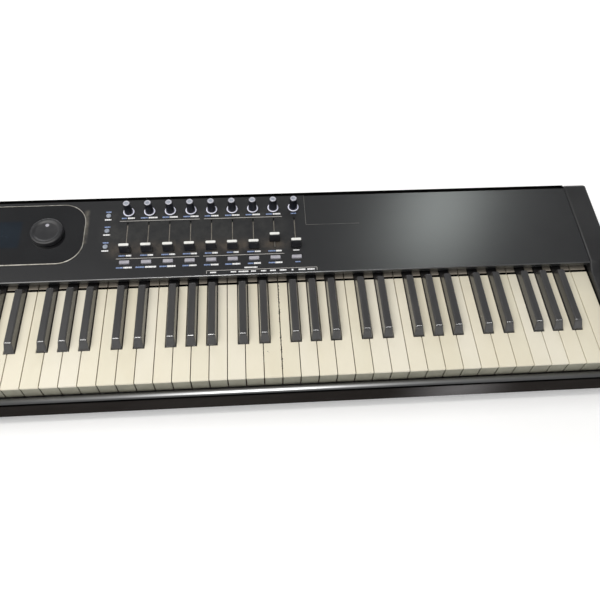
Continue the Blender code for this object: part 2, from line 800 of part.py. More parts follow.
def make_control_board():
    """The board under the panel with its soldered encoders, slide pots and push switches."""
    board_x = (-505.0, 225.0)
    board_y = (20.5, 134.0)
    board_z = (BOARD_TOP - BOARD_SHEET, BOARD_TOP)
    board = solid("control_board", lambda bm: add_box(bm, board_x, board_y, board_z))
    sunk = BOARD_TOP - 0.4
    encoder_top = -4.6
    switch_top = -8.0
    pot_top = -3.2
    pot_y = (FADER_LOW - 8.6, FADER_LOW + FADER_TRAVEL + 8.6)
    slot_y = (FADER_LOW - 3.6, FADER_LOW + FADER_TRAVEL + 3.6)
    bore_low = -10.3
    bore_top = -3.0

    def add_block(bm, x, y, half, top):
        add_box(bm, (x - half, x + half), (y - half, y + half), (sunk, top))

    def add_bore(bm, x, y):
        add_cylinder(bm, (x, y, (bore_low + bore_top) / 2), BEARING_BORE, bore_top - bore_low, "Z", 16)

    def fill_components(bm):
        for column in range(COLUMNS):
            x = column_x(column)
            add_block(bm, x, KNOB_ROW, 6.0, encoder_top)
            add_box(bm, (x - 4.5, x + 4.5), pot_y, (sunk, pot_top))
            add_block(bm, x, SELECT_ROW, 3.0, switch_top)
        for x, y in page_places() + command_places():
            add_block(bm, x, y, 3.0, switch_top)
        add_block(bm, *DIAL_CENTRE, 7.0, encoder_top)

    def fill_bores(bm):
        for column in range(COLUMNS):
            x = column_x(column)
            add_bore(bm, x, KNOB_ROW)
            add_box(bm, (x - 1.3, x + 1.3), slot_y, (-9.6, -2.0))
        add_bore(bm, *DIAL_CENTRE)

    join(board, solid("board_components", fill_components), PANEL_FRAME)
    cut(board, solid("board_bores", fill_bores), PANEL_FRAME)
    place(board, "board_green", PANEL_FRAME)


def make_light_guide():
    """A clear strip behind the panel whose nine tubes come up as rings round the encoders."""
    strip_z = (-4.2, -2.4)
    x = (column_x(0) - 11, column_x(COLUMNS - 1) + 11)
    guide = solid("light_guide", lambda bm: add_box(bm, x, (KNOB_ROW - 10.5, KNOB_ROW + 10.5), strip_z))

    def fill_tubes(bm):
        for column in range(COLUMNS):
            add_cylinder(bm, (column_x(column), KNOB_ROW, -1.2), RING_OUTER, 4.8)

    def fill_bores(bm):
        for column in range(COLUMNS):
            add_cylinder(bm, (column_x(column), KNOB_ROW, 0.0), RING_BORE, 12.0)

    join(guide, solid("guide_tubes", fill_tubes), PANEL_FRAME)
    cut(guide, solid("guide_bores", fill_bores), PANEL_FRAME)
    place(guide, "diffuser", PANEL_FRAME)


def make_knobs():
    """Nine encoder caps with their shafts, each turning on its own axis."""
    profile = [
        (0.0, KNOB_HEIGHT),
        (4.7, KNOB_HEIGHT),
        (5.35, KNOB_HEIGHT - 0.7),
        (5.5, 14.0),
        (6.2, 3.0),
        (6.2, 0.4),
        (3.0, 0.4),
        (3.0, -9.8),
        (0.0, -9.8),
    ]
    for column in range(COLUMNS):
        knob = turned(f"encoder_knob_{column + 1}", profile, 16)
        place(knob, "gloss_black", PANEL_FRAME, (column_x(column), KNOB_ROW, 0.0))


def make_faders():
    """Nine fader caps, each a wedge with a narrow stem down into its slide pot."""
    half_view = [(4.9, 1.0), (4.7, 2.5), (2.4, 12.6), (2.3, 14.5)]
    side_view = half_view + [(-y, z) for y, z in reversed(half_view)]
    cap_width = 15.2
    for column in range(COLUMNS):
        name = f"fader_cap_{column + 1}"
        cap = extruded(name, [side_view], cap_width, 0.0, "X")
        rounded(cap, 0.5, 1, 40.0)
        y = FADER_LOW + (RAISED_BY if column == RAISED_FADER else 0.0)
        x = column_x(column)
        stem = solid(name + "_stem", lambda bm: add_box(bm, (-0.6, 0.6), (-2.0, 2.0), (-8.4, 2.0)))
        stem.location = Vector((x, y, 0.0)) * MM
        join(cap, stem, PANEL_FRAME)
        place(cap, "black_plastic", PANEL_FRAME, (x, y, 0.0))


def make_button_sets():
    """Each set of buttons is one moulding: caps on a thin web behind the panel."""
    cap_z = (-3.4, BUTTON_RISE)
    x = (column_x(0) - 9, column_x(COLUMNS - 1) + 9)
    select = solid("select_buttons", lambda bm: add_box(bm, x, (SELECT_ROW - 4.8, SELECT_ROW + 4.8), WEB))

    def fill_select(bm):
        half_x, half_y = SELECT_SIZE[0] / 2, SELECT_SIZE[1] / 2
        y = (SELECT_ROW - half_y, SELECT_ROW + half_y)
        for column in range(COLUMNS):
            centre = column_x(column)
            add_box(bm, (centre - half_x, centre + half_x), y, cap_z)

    join(select, rounded(solid("select_caps", fill_select), 0.6), PANEL_FRAME)
    place(select, "lavender_plastic", PANEL_FRAME)

    def round_set(name, places, web_x, web_y):
        buttons = solid(name, lambda bm: add_box(bm, web_x, web_y, WEB))

        def fill_caps(bm):
            for place_x, place_y in places:
                middle = (place_x, place_y, sum(cap_z) / 2)
                add_cylinder(bm, middle, ROUND_BUTTON, cap_z[1] - cap_z[0], "Z", 12)

        join(buttons, solid(name + "_caps", fill_caps), PANEL_FRAME)
        place(buttons, "lavender_plastic", PANEL_FRAME)

    margin = 6.0
    page_y = (PAGE_ROWS[0] - margin, PAGE_ROWS[-1] + margin)
    round_set("page_buttons", page_places(), (PAGE_X - 5, PAGE_X + 5), page_y)
    command_x = (COMMAND_COLUMNS[0] - margin, COMMAND_COLUMNS[-1] + margin)
    command_y = (COMMAND_ROWS[0] - margin, COMMAND_ROWS[-1] + margin)
    round_set("command_buttons", command_places(), command_x, command_y)


def make_pad_mat():
    """Sixteen rubber pads moulded on one mat behind the panel."""
    half = 2 * PAD_PITCH + 1
    x = (PAD_CENTRE[0] - half, PAD_CENTRE[0] + half)
    y = (PAD_CENTRE[1] - half, PAD_CENTRE[1] + half)
    mat = solid("pad_mat", lambda bm: add_box(bm, x, y, (-4.4, -2.5)))

    def fill_pads(bm):
        pad_half = PAD_SIZE / 2
        for pad_x, pad_y in pad_places():
            sides_x = (pad_x - pad_half, pad_x + pad_half)
            add_box(bm, sides_x, (pad_y - pad_half, pad_y + pad_half), (-3.5, 2.4))

    join(mat, solid("pads", fill_pads), PANEL_FRAME)
    place(mat, "rubber", PANEL_FRAME)


def make_display():
    """The glossy plate over the screen, with a hole for the dial, and the dial itself."""
    outline = rounded_rectangle(BEZEL_X, BEZEL_Y, BEZEL_RADIUS)
    plate = extruded("display_window", [outline], 1.5, -0.15, "Z")
    hole = solid("dial_hole", lambda bm: add_cylinder(bm, (*DIAL_CENTRE, 0.0), 9.0, 6.0))
    cut(plate, hole, PANEL_FRAME)
    place(plate, "gloss_black", PANEL_FRAME)

    radius = DIAL_DIAMETER / 2
    profile = [
        (0.0, 7.2),
        (radius - 7, 7.2),
        (radius - 5, 8.4),
        (radius - 1.2, 8.4),
        (radius, 7.2),
        (radius, 1.1),
        (3.0, 1.1),
        (3.0, -9.8),
        (0.0, -9.8),
    ]
    place(turned("jog_dial", profile, 24), "black_plastic", PANEL_FRAME, (*DIAL_CENTRE, 0.0))


# ---------------------------------------------------------------- wheels


def wheel_centre():
    y, z = on_panel(WHEEL_ROW, 0.0)
    return y, z + WHEEL_RISE - WHEEL_RADIUS


def make_wheels():
    """The two performance wheels and the bracket whose axle they turn on."""
    centre_y, centre_z = wheel_centre()
    long = 3 * WHEEL_WIDTH
    notch_centre = (0, 0, WHEEL_RADIUS + 2.5)
    notch_size = 9.0
    for name, x in WHEEL_X.items():
        disc = solid(name, lambda bm: add_cylinder(bm, (0, 0, 0), 2 * WHEEL_RADIUS, WHEEL_WIDTH, "X", 28))
        rounded(disc, 1.2, 1, 50.0)
        bore = solid(name + "_bore", lambda bm: add_cylinder(bm, (0, 0, 0), BEARING_BORE, long, "X", 16))
        bore.location = Vector((x, centre_y, centre_z)) * MM
        cut(disc, bore)
        # A shallow finger notch across the rim
        notch = solid(name + "_notch", lambda bm: add_cylinder(bm, notch_centre, notch_size, long, "X", 16))
        notch.location = bore.location
        notch.rotation_euler = (NOTCH_LEAN[name], 0.0, 0.0)
        cut(disc, notch)
        place(disc, "rubber", None, (x, centre_y, centre_z))

    low = TRAY_BOTTOM + TRAY_SHEET + GAP
    ends = (-597.0, -523.0)
    middle_cheek = -561.0
    base_y = (94.0, 140.0)
    base = solid("wheel_bracket", lambda bm: add_box(bm, ends, base_y, (low, low + SHEET)))

    def fill_cheeks(bm):
        for x in (ends[0], middle_cheek, ends[1] - SHEET):
            add_box(bm, (x, x + SHEET), (centre_y - 8, centre_y + 8), (low + 0.5, centre_z + 6))

    axle_middle = sum(ends) / 2
    axle_length = ends[1] - ends[0] - 1
    join(base, solid("bracket_cheeks", fill_cheeks))
    axle = solid(
        "wheel_axle",
        lambda bm: add_cylinder(bm, (axle_middle, centre_y, centre_z), AXLE, axle_length, "X", 16),
    )
    join(base, axle)
    place(base, "steel")


# ---------------------------------------------------------------- electronics


def make_main_board():
    """The processor board on four posts over the tray."""
    low = TRAY_BOTTOM + TRAY_SHEET + GAP
    x = (-460.0, -140.0)
    y = (96.0, 144.0)
    board_low = low + 5
    board_top = board_low + BOARD_SHEET
    board = solid("main_board", lambda bm: add_box(bm, x, y, (board_low, board_top)))
    corner = 8.0
    post_size = 6.0
    post_height = 5.4
    chip_y = 120.0
    chips = ((-400, 10), (-330, 14), (-250, 8), (-190, 8))

    def fill_rest(bm):
        for post_x in (x[0] + corner, x[1] - corner):
            for post_y in (y[0] + corner, y[1] - corner):
                add_cylinder(bm, (post_x, post_y, low + post_height / 2), post_size, post_height, "Z", 12)
        for chip_x, half in chips:
            chip_z = (board_top - 0.6, board_top + 2)
            add_box(bm, (chip_x - half, chip_x + half), (chip_y - half, chip_y + half), chip_z)

    join(board, solid("board_posts_and_chips", fill_rest))
    place(board, "board_green")


def make_jack_board():
    """The upright rear board that carries the sockets and the switch housing."""
    board_x = (DC_X - 14, JACK_XS[-1] + 16)
    board_y = (125.0, 125.0 + BOARD_SHEET)
    z = (SOCKET_Z - 16, SOCKET_Z + 16)
    board = solid("jack_board", lambda bm: add_box(bm, board_x, board_y, z))
    body_y = (board_y[1] - 0.4, 150.4)
    nose_end = 153.2
    nose_y = (body_y[1] - 1, nose_end)
    nose_middle = sum(nose_y) / 2
    nose_length = nose_y[1] - nose_y[0]

    def add_block(bm, x, y, half_x, half_z):
        add_box(bm, (x - half_x, x + half_x), y, (SOCKET_Z - half_z, SOCKET_Z + half_z))

    def fill_bodies(bm):
        for x in JACK_XS:
            add_block(bm, x, body_y, 9.0, 9.0)
        for x in DIN_XS:
            add_block(bm, x, body_y, 10.0, 10.0)
        add_block(bm, DC_X, body_y, 7.0, 7.0)
        add_block(bm, USB_X, body_y, 8.0, 8.0)
        add_block(bm, SWITCH_X, body_y, 9.0, 13.0)

    def fill_noses(bm):
        for x in JACK_XS:
            add_cylinder(bm, (x, nose_middle, SOCKET_Z), 11.2, nose_length, "Y", 12)
        for x in DIN_XS:
            add_cylinder(bm, (x, nose_middle, SOCKET_Z), 16.0, nose_length, "Y")
        add_cylinder(bm, (DC_X, nose_middle, SOCKET_Z), 11.0, nose_length, "Y", 12)
        add_block(bm, USB_X, nose_y, 6.0, 5.5)

    def fill_bores(bm):
        for x in JACK_XS:
            add_cylinder(bm, (x, nose_end - 10, SOCKET_Z), 6.6, 22.0, "Y", 12)
        for x in DIN_XS:
            add_cylinder(bm, (x, nose_end, SOCKET_Z), 13.2, 4.0, "Y")
        add_cylinder(bm, (DC_X, nose_end, SOCKET_Z), 6.4, 18.0, "Y", 12)
        add_block(bm, USB_X, (nose_end - 10, nose_end + 2), 4.2, 3.9)
        add_block(bm, SWITCH_X, (136.0, 155.0), *SWITCH_OPENING)

    def fill_pins(bm):
        add_cylinder(bm, (DC_X, nose_end - 6, SOCKET_Z), 2.0, 10.0, "Y", 8)
        add_block(bm, USB_X, (nose_end - 11, nose_end - 1.5), 2.8, 1.6)

    join(board, solid("socket_bodies", fill_bodies))
    join(board, solid("socket_noses", fill_noses))
    cut(board, solid("socket_bores", fill_bores))
    join(board, solid("socket_pins", fill_pins))
    place(board, "black_plastic")


def make_power_switch():
    """The rocker, built in its off position, on a pivot along X inside its housing."""
    pivot_y = 146.5
    width = 12.6
    # The outline's first value runs up the rocker and its second outwards
    upper_half = [(1.0, -5.0), (7.0, -1.5), (9.0, 3.0), (9.0, 6.2)]
    lower_half = [(-up, out) for up, out in reversed(upper_half)]
    outline = upper_half + [(0.0, 4.6)] + lower_half
    turned_outline = []
    for up, out in outline:
        y = out * math.cos(SWITCH_TILT) + up * math.sin(SWITCH_TILT)
        z = up * math.cos(SWITCH_TILT) - out * math.sin(SWITCH_TILT)
        turned_outline.append((y, z))
    rocker = extruded("power_switch", [turned_outline], width, 0.0, "X")
    rounded(rocker, 0.4, 1, 50.0)
    place(rocker, "gloss_black", None, (SWITCH_X, pivot_y, SOCKET_Z))


def shade_all():
    """Shades round pieces smooth, and keeps their edges sharp."""
    for obj in PARTS.objects:
        if obj.type == "MESH":
            obj.data.shade_smooth()
            obj.data.set_sharp_from_angle(angle=math.radians(35))


make_keys()
make_key_frame()
make_pivot_rod()
make_key_stop_felt()
make_contacts()
make_key_spring_comb()
make_bottom_tray()
make_feet()
make_front_rail()
make_end_cap("left_end_cap", -1)
make_end_cap("right_end_cap", 1)
make_rear_panel()
make_top_panel()
make_control_board()
make_light_guide()
make_knobs()
make_faders()
make_button_sets()
make_pad_mat()
make_display()
make_wheels()
make_main_board()
make_jack_board()
make_power_switch()
shade_all()
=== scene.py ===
"""The looks of an 88-key controller keyboard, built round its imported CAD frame.

Lengths are millimetres unless a comment says metres, and the mesh helpers turn them into metres.
X runs along the keys, Y to the rear, Z up. The control panel has its own frame: x along it, y up
its slope, z out of it, starting at its front edge. Spans such as GROOVE are (low, high) pairs.
"""

import json
import math
import random

import bmesh
import bpy
from mathutils import Matrix, Vector


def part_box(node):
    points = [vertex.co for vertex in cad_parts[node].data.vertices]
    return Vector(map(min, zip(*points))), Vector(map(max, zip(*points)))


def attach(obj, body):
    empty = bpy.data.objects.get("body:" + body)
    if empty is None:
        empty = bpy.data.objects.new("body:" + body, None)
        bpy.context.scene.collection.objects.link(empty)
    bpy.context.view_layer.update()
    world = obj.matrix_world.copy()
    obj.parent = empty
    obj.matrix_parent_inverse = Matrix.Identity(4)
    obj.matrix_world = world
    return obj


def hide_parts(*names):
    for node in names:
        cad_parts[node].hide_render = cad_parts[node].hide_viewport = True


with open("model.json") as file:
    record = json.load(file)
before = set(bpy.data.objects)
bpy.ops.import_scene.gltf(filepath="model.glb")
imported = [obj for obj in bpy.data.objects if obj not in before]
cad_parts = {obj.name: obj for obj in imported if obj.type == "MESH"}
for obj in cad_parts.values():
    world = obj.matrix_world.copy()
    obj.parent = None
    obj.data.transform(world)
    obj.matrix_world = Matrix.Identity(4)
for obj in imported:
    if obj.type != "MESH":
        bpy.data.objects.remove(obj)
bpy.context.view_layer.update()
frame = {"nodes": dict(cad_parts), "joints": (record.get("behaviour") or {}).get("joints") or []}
NODES = frame["nodes"]
JOINTS = {joint["name"]: joint for joint in frame["joints"]}
MM = 0.001

# Keyboard, as the CAD has it
WHITE_PITCH = 23.5
WHITE_COUNT = 52
KEY_SLIT = 1.0
KEYBED_HALF = WHITE_PITCH * WHITE_COUNT / 2
KEY_TOP = 77.0
KEY_FRONT = -141.5
SHOULDER = KEY_FRONT + 50.0
HEAD_HEIGHT = 24.0
TAIL_HEIGHT = 14.0
PLATE_HEIGHT = 3.2
LIP = 0.7
FRONT_INSET = 0.25
TAIL_INSET = 0.15
TAIL_DROP = 0.9
TAIL_PLATE_HEIGHT = 4.0
UNDER_PLATE = 2.6
LAP = 1.0
TAIL_END = 78.2
TAIL_END_TOP = 71.0
SET_TAIL_END = 84.5
SET_TAIL_END_TOP = 68.8
BAR_FRONT = 79.5
BAR_SPANS = {"white_keys": (63.0, 69.0), "black_keys": (71.2, 77.5)}
ROD_NOTCH = (71.2, 75.8)
ROD_NOTCH_TOP = 70.3
GROOVE = (5.0, 7.6)
GROOVE_FLOOR = KEY_TOP - 2.5
BLACK_SLOT = 15.1
BLACK_WIDTH = 13.5
BLACK_TOP_WIDTH = 9.6
BLACK_RISE = 12.0
BLACK_FRONT = SHOULDER + 0.5
BLACK_FRONT_LEAN = 8.6
BLACK_END = 4.5
BLACK_END_LEAN = 1.7
BLACK_FOOT = KEY_TOP + 0.5
BLACK_OFFSETS = {"C": -2.3, "D": 2.5, "F": -3.3, "G": 0.0, "A": 3.3}
WHITE_NAMES = "CDEFGAB"
FIRST_LETTER = WHITE_NAMES.index("A")
MIDDLE_OCTAVE = 5

# Dirt: the slit it lies in, counted in white keys from the left, the pieces along each side of
# it, and the x, y and radius of the specks on one key
GRIMY_SLIT = 33
GRIME_PIECES = 34
SPECKS = ((146.5, -104.0, 0.55), (147.9, -105.5, 0.35))

# Control panel
COLUMNS = 9
COLUMN_PITCH = 30.0
FIRST_COLUMN = -47.0
KNOB_ROW = 116.0
KNOB_HEIGHT = 20.5
SHAFT_END = -9.8
FADER_LOW = 47.6
FADER_TRAVEL = 45.0
SLOT_MARGIN = 3.2
SELECT_ROW = 27.1
PAGE_X = -75.5
PAGE_ROWS = (54.9, 82.7, 109.9)
ROUND_BUTTON = 7.0
COMMAND_COLUMNS = (-380.0, -360.0, -340.0, -320.0, -300.0)
COMMAND_ROWS = (55.0, 95.0)
PAD_CENTRE = (-452.0, 70.0)
PAD_PITCH = 24.0
PAD_SIZE = 21.0
PAD_COUNT = 4
BEZEL_X = (-276.5, -106.5)
BEZEL_Y = (28.5, 132.6)
BEZEL_RADIUS = 35.0
RIM_WIDTH = 0.85
SCREEN = ((-258, -196), (58, 104))
PANEL_LENGTH = 140.4
PANEL_SPAN = (-611.0, 611.0)
SHELF_LEFT = 210.0
SHELF_FRONT = 83.2
SHELF_LINE = 78.0
SEAM_DEPTH = (-0.3, 0.05)
INK_DEPTH = (0.03, 0.08)

# Pitch and mod wheels: the ribs' count and depth, and the degrees that the mod wheel's finger
# notch rests in front of its top
WHEEL_RADIUS = 22.0
WHEEL_BORE = 3.4
WHEEL_RIBS = (80, 0.18)
WHEEL_STEPS = 240
NOTCH_WIDTH = 12.0
NOTCH_DEPTH = 2.2
MOD_WHEEL_LEAN = 35

# Front rail
RAIL_BACK = -144.0

# Rear sockets
SOCKET_Z = 42.0
JACK_XS = (495.0, 520.0, 545.0)
DIN_XS = (440.0, 466.0)
USB_X = 410.0
DC_X = 345.0
SWITCH_X = 377.0

# Screws: radius and height of the heads
TRAY_SCREW = (3.4, 1.2)
REAR_SCREW = (3.2, 0.24)

# Studio floor: flat out to where it sweeps up into a low wall
SWEEP_START = 5000.0
SWEEP = 1200.0
SWEEP_STEPS = 8
WALL_TOP = 3200.0
FLOOR_SIDES = 96
FLOOR_GLOW = 0.26
SKY_COLOUR = (0.97, 0.985, 1.0, 1.0)
SKY_STRENGTH = 0.3

# Camera over the player's seat, looking down at the keys: metres, degrees, millimetres of film
CAMERA_PLACE = (0.14092, -0.51019, 0.80424)
CAMERA_YAW = -6.229
CAMERA_PITCH = 56.152
CAMERA_ROLL = 2.955
CAMERA_LENS = 38.12
CAMERA_SENSOR = 36.0

# Materials of the CAD nodes that stay as they are, nearly all of them inside the case
INSIDE_LOOKS = {
    "key_frame": "sheet",
    "wheel_bracket": "sheet",
    "pivot_rod": "rod",
    "key_spring_comb": "sheet",
    "key_stop_felt": "felt",
    "contact_board": "board",
    "control_board": "board",
    "main_board": "board",
    "contact_strip": "rubber",
    "jack_board": "socket",
}

# What each of the linked lights falls on, and what the two overhead lights leave out
GLOSSED = bpy.data.collections.new("glossed")
POLISHED = bpy.data.collections.new("polished")
EDGED = bpy.data.collections.new("edged")
FRONTED = bpy.data.collections.new("fronted")
SHADED = bpy.data.collections.new("shaded")

# Area lights in metres and watts: name, place, target, size, power, colour, receivers. The
# patch's beam is PATCH_SPREAD degrees wide.
WHITE = (1.0, 1.0, 1.0)
LIGHTS = (
    ("overhead", (-1.3, -0.3, 2.7), (-0.1, -0.1, 0.05), (3.0, 1.9), 50.5,
     (1.0, 0.985, 0.955), SHADED),
    ("key", (-0.12, -0.25, 2.3), (0.0, -0.05, 0.05), (0.35, 0.25), 10.5, (1.0, 0.98, 0.94), SHADED),
    ("side_window", (1.27, 1.86, 2.6), (0.4, 0.1, 0.1), (0.4, 0.55), 8.4,
     (0.93, 1.0, 0.97), GLOSSED),
    ("rail_strip", (0.1, 0.28, 2.6), (0.1, -0.15, 0.05), (0.3, 0.3), 40.0, WHITE, POLISHED),
    ("edge_strip", (0.1, -0.25, 2.3), (0.1, -0.05, 0.05), (3.0, 0.26), 56.0, WHITE, EDGED),
    ("rail_patch", (0.395, -0.9, 0.35), (0.395, -0.15, 0.04), (0.06, 0.06), 0.13,
     (0.84, 0.92, 1.0), FRONTED),
    ("backdrop", (0.1, 2.9, 1.3), (0.1, 1.4, 0.0), (3.0, 0.6), 20.0, WHITE, None),
)
PATCH_SPREAD = 10


def panel_matrix():
    """The panel's frame, from the first encoder's axis and place."""
    joint = JOINTS["encoder_1_turn"]
    normal = Vector(joint["axis"]).normalized()
    along = Vector((1, 0, 0))
    up_slope = normal.cross(along)
    origin = Vector(joint["pos_m"]) - along * FIRST_COLUMN * MM - up_slope * KNOB_ROW * MM
    columns = (along, up_slope, normal, origin)
    rows = [[column[i] for column in columns] for i in range(3)]
    return Matrix(rows + [[0, 0, 0, 1]])


PANEL = panel_matrix()

# Turns a shape whose outline is (y, z) pairs, and whose height is x, to lie along X
ALONG_X = Matrix(((0, 0, 1), (1, 0, 0), (0, 1, 0))).to_4x4()


# ---- camera, light and floor


def make_camera():
    yaw, pitch, roll = (math.radians(turn) for turn in (CAMERA_YAW, CAMERA_PITCH, CAMERA_ROLL))
    level = Vector((math.cos(yaw), math.sin(yaw), 0))
    ahead = Vector((-math.sin(yaw), math.cos(yaw), 0))
    forward = ahead * math.cos(pitch) - Vector((0, 0, math.sin(pitch)))
    above = level.cross(forward)
    right = level * math.cos(roll) + above * math.sin(roll)
    up = above * math.cos(roll) - level * math.sin(roll)
    rows = [[right[i], up[i], -forward[i]] for i in range(3)]
    data = bpy.data.cameras.new("camera")
    data.sensor_width = CAMERA_SENSOR
    data.lens = CAMERA_LENS
    data.clip_end = 50.0
    camera = bpy.data.objects.new("camera", data)
    camera.matrix_world = Matrix.Translation(CAMERA_PLACE) @ Matrix(rows).to_4x4()
    bpy.context.scene.collection.objects.link(camera)
    bpy.context.scene.camera = camera


def area_light(name, place, target, size, power, colour, receivers):
    data = bpy.data.lights.new(name, "AREA")
    data.shape = "RECTANGLE"
    data.size, data.size_y = size
    data.energy = power
    data.color = colour
    light = bpy.data.objects.new(name, data)
    light.location = place
    light.rotation_euler = (Vector(target) - Vector(place)).to_track_quat("-Z", "Y").to_euler()
    if receivers:
        light.light_linking.receiver_collection = receivers
    bpy.context.scene.collection.objects.link(light)
    return light


def make_studio():
    world = bpy.data.worlds.new("studio")
    bpy.context.scene.world = world
    world.use_nodes = True
    background = world.node_tree.nodes["Background"]
    background.inputs["Color"].default_value = SKY_COLOUR
    background.inputs["Strength"].default_value = SKY_STRENGTH
    bpy.context.scene.view_settings.view_transform = "Standard"

    lights = {row[0]: area_light(*row) for row in LIGHTS}
    lights["edge_strip"].visible_diffuse = False
    lights["rail_patch"].data.spread = math.radians(PATCH_SPREAD)

    bm = bmesh.new()
    profile = [(0.0, 0.0)]
    for step in range(SWEEP_STEPS + 1):
        angle = math.radians(90 * step / SWEEP_STEPS)
        profile.append((SWEEP_START + SWEEP * math.sin(angle), SWEEP * (1 - math.cos(angle))))
    profile.append((SWEEP_START + SWEEP, WALL_TOP))
    lathe(bm, profile, FLOOR_SIDES)
    floor = object_from(bm, "floor")
    floor.data.flip_normals()
    paper = plain_material("floor_paper", (0.9, 0.9, 0.9), 0.8)
    glow(paper, WHITE, FLOOR_GLOW)
    floor.data.materials.append(paper)


# ---- materials


def shader_of(material):
    return material.node_tree.nodes["Principled BSDF"]


def set_inputs(material, values):
    for name, value in values.items():
        shader_of(material).inputs[name].default_value = value


def plain_material(name, colour, roughness, metallic=0.0):
    material = bpy.data.materials.new(name)
    material.use_nodes = True
    base = {"Base Color": (*colour, 1.0), "Roughness": roughness, "Metallic": metallic}
    set_inputs(material, base)
    return material


def glow(material, colour, strength):
    set_inputs(material, {"Emission Color": (*colour, 1.0), "Emission Strength": strength})


def add_node(material, kind, inputs, **settings):
    """A shader node with its inputs set; an input given as another node's output is linked."""
    tree = material.node_tree
    node = tree.nodes.new("ShaderNode" + kind)
    for name, value in settings.items():
        setattr(node, name, value)
    for name, value in inputs.items():
        if isinstance(value, bpy.types.NodeSocket):
            tree.links.new(value, node.inputs[name])
        else:
            node.inputs[name].default_value = value
    return node


def object_place(material):
    return add_node(material, "TexCoord", {}).outputs["Object"]


def surface(name, colour, second, roughness, metallic=0.0, scale=12.0, stretch=(1, 1, 1), wear=0.06,
            grain=0.02, grain_scale=1500.0, specular=0.5, coat=0.0, sheen=0.0):
    """A finish with soft patches of a second colour, uneven gloss and a fine surface grain."""
    material = plain_material(name, colour, roughness, metallic)
    links = material.node_tree.links
    shader = shader_of(material)
    set_inputs(material, {"Specular IOR Level": specular})
    if coat:
        set_inputs(material, {"Coat Weight": coat, "Coat Roughness": 0.1})
    if sheen:
        set_inputs(material, {"Sheen Weight": sheen})
    place = {"Vector": object_place(material), "Scale": stretch}
    place = add_node(material, "Mapping", place).outputs["Vector"]

    patches = {"Vector": place, "Scale": scale, "Detail": 5.0, "Roughness": 0.55}
    patches = add_node(material, "TexNoise", patches).outputs["Fac"]
    share = {"Value": patches, "From Min": 0.38, "From Max": 0.68}
    share = add_node(material, "MapRange", share, interpolation_type="SMOOTHSTEP").outputs["Result"]
    blend = {"Factor": share, "A": (*colour, 1.0), "B": (*second, 1.0)}
    blend = add_node(material, "Mix", blend, data_type="RGBA").outputs["Result"]
    links.new(blend, shader.inputs["Base Color"])

    gloss = {"Value": patches, "To Min": max(0.02, roughness - wear), "To Max": roughness + wear}
    gloss = add_node(material, "MapRange", gloss).outputs["Result"]
    links.new(gloss, shader.inputs["Roughness"])

    if grain:
        fine = {"Vector": place, "Scale": grain_scale, "Detail": 2.0}
        fine = add_node(material, "TexNoise", fine).outputs["Fac"]
        bump = add_node(material, "Bump", {"Height": fine, "Strength": grain, "Distance": 0.0004})
        links.new(bump.outputs["Normal"], shader.inputs["Normal"])
    return material


def add_dust(material, low, high, dust_colour, amount, soft=0.012):
    """Adds a haze of dust inside a box of object space, in metres, that fades out round it."""
    shader = shader_of(material)
    place = object_place(material)
    split = add_node(material, "SeparateXYZ", {"Vector": place})
    noise = {"Vector": place, "Scale": 55.0, "Detail": 6.0, "Roughness": 0.65}
    noise = add_node(material, "TexNoise", noise).outputs["Fac"]
    total = {"Value": noise, "From Min": 0.35, "From Max": 0.75, "To Max": amount}
    total = add_node(material, "MapRange", total).outputs["Result"]
    for index, axis in enumerate("XY"):
        for edge, sign in ((low[index], 1), (high[index], -1)):
            fade = {"Value": split.outputs[axis], "From Min": edge - sign * soft,
                    "From Max": edge + sign * soft}
            fade = add_node(material, "MapRange", fade, interpolation_type="SMOOTHSTEP")
            product = {0: total, 1: fade.outputs["Result"]}
            total = add_node(material, "Math", product, operation="MULTIPLY").outputs["Value"]
    clean = shader.inputs["Base Color"].links[0].from_socket
    dusty = {"Factor": total, "A": clean, "B": (*dust_colour, 1.0)}
    dusty = add_node(material, "Mix", dusty, data_type="RGBA").outputs["Result"]
    material.node_tree.links.new(dusty, shader.inputs["Base Color"])


def grey(level):
    return (level, level, level)


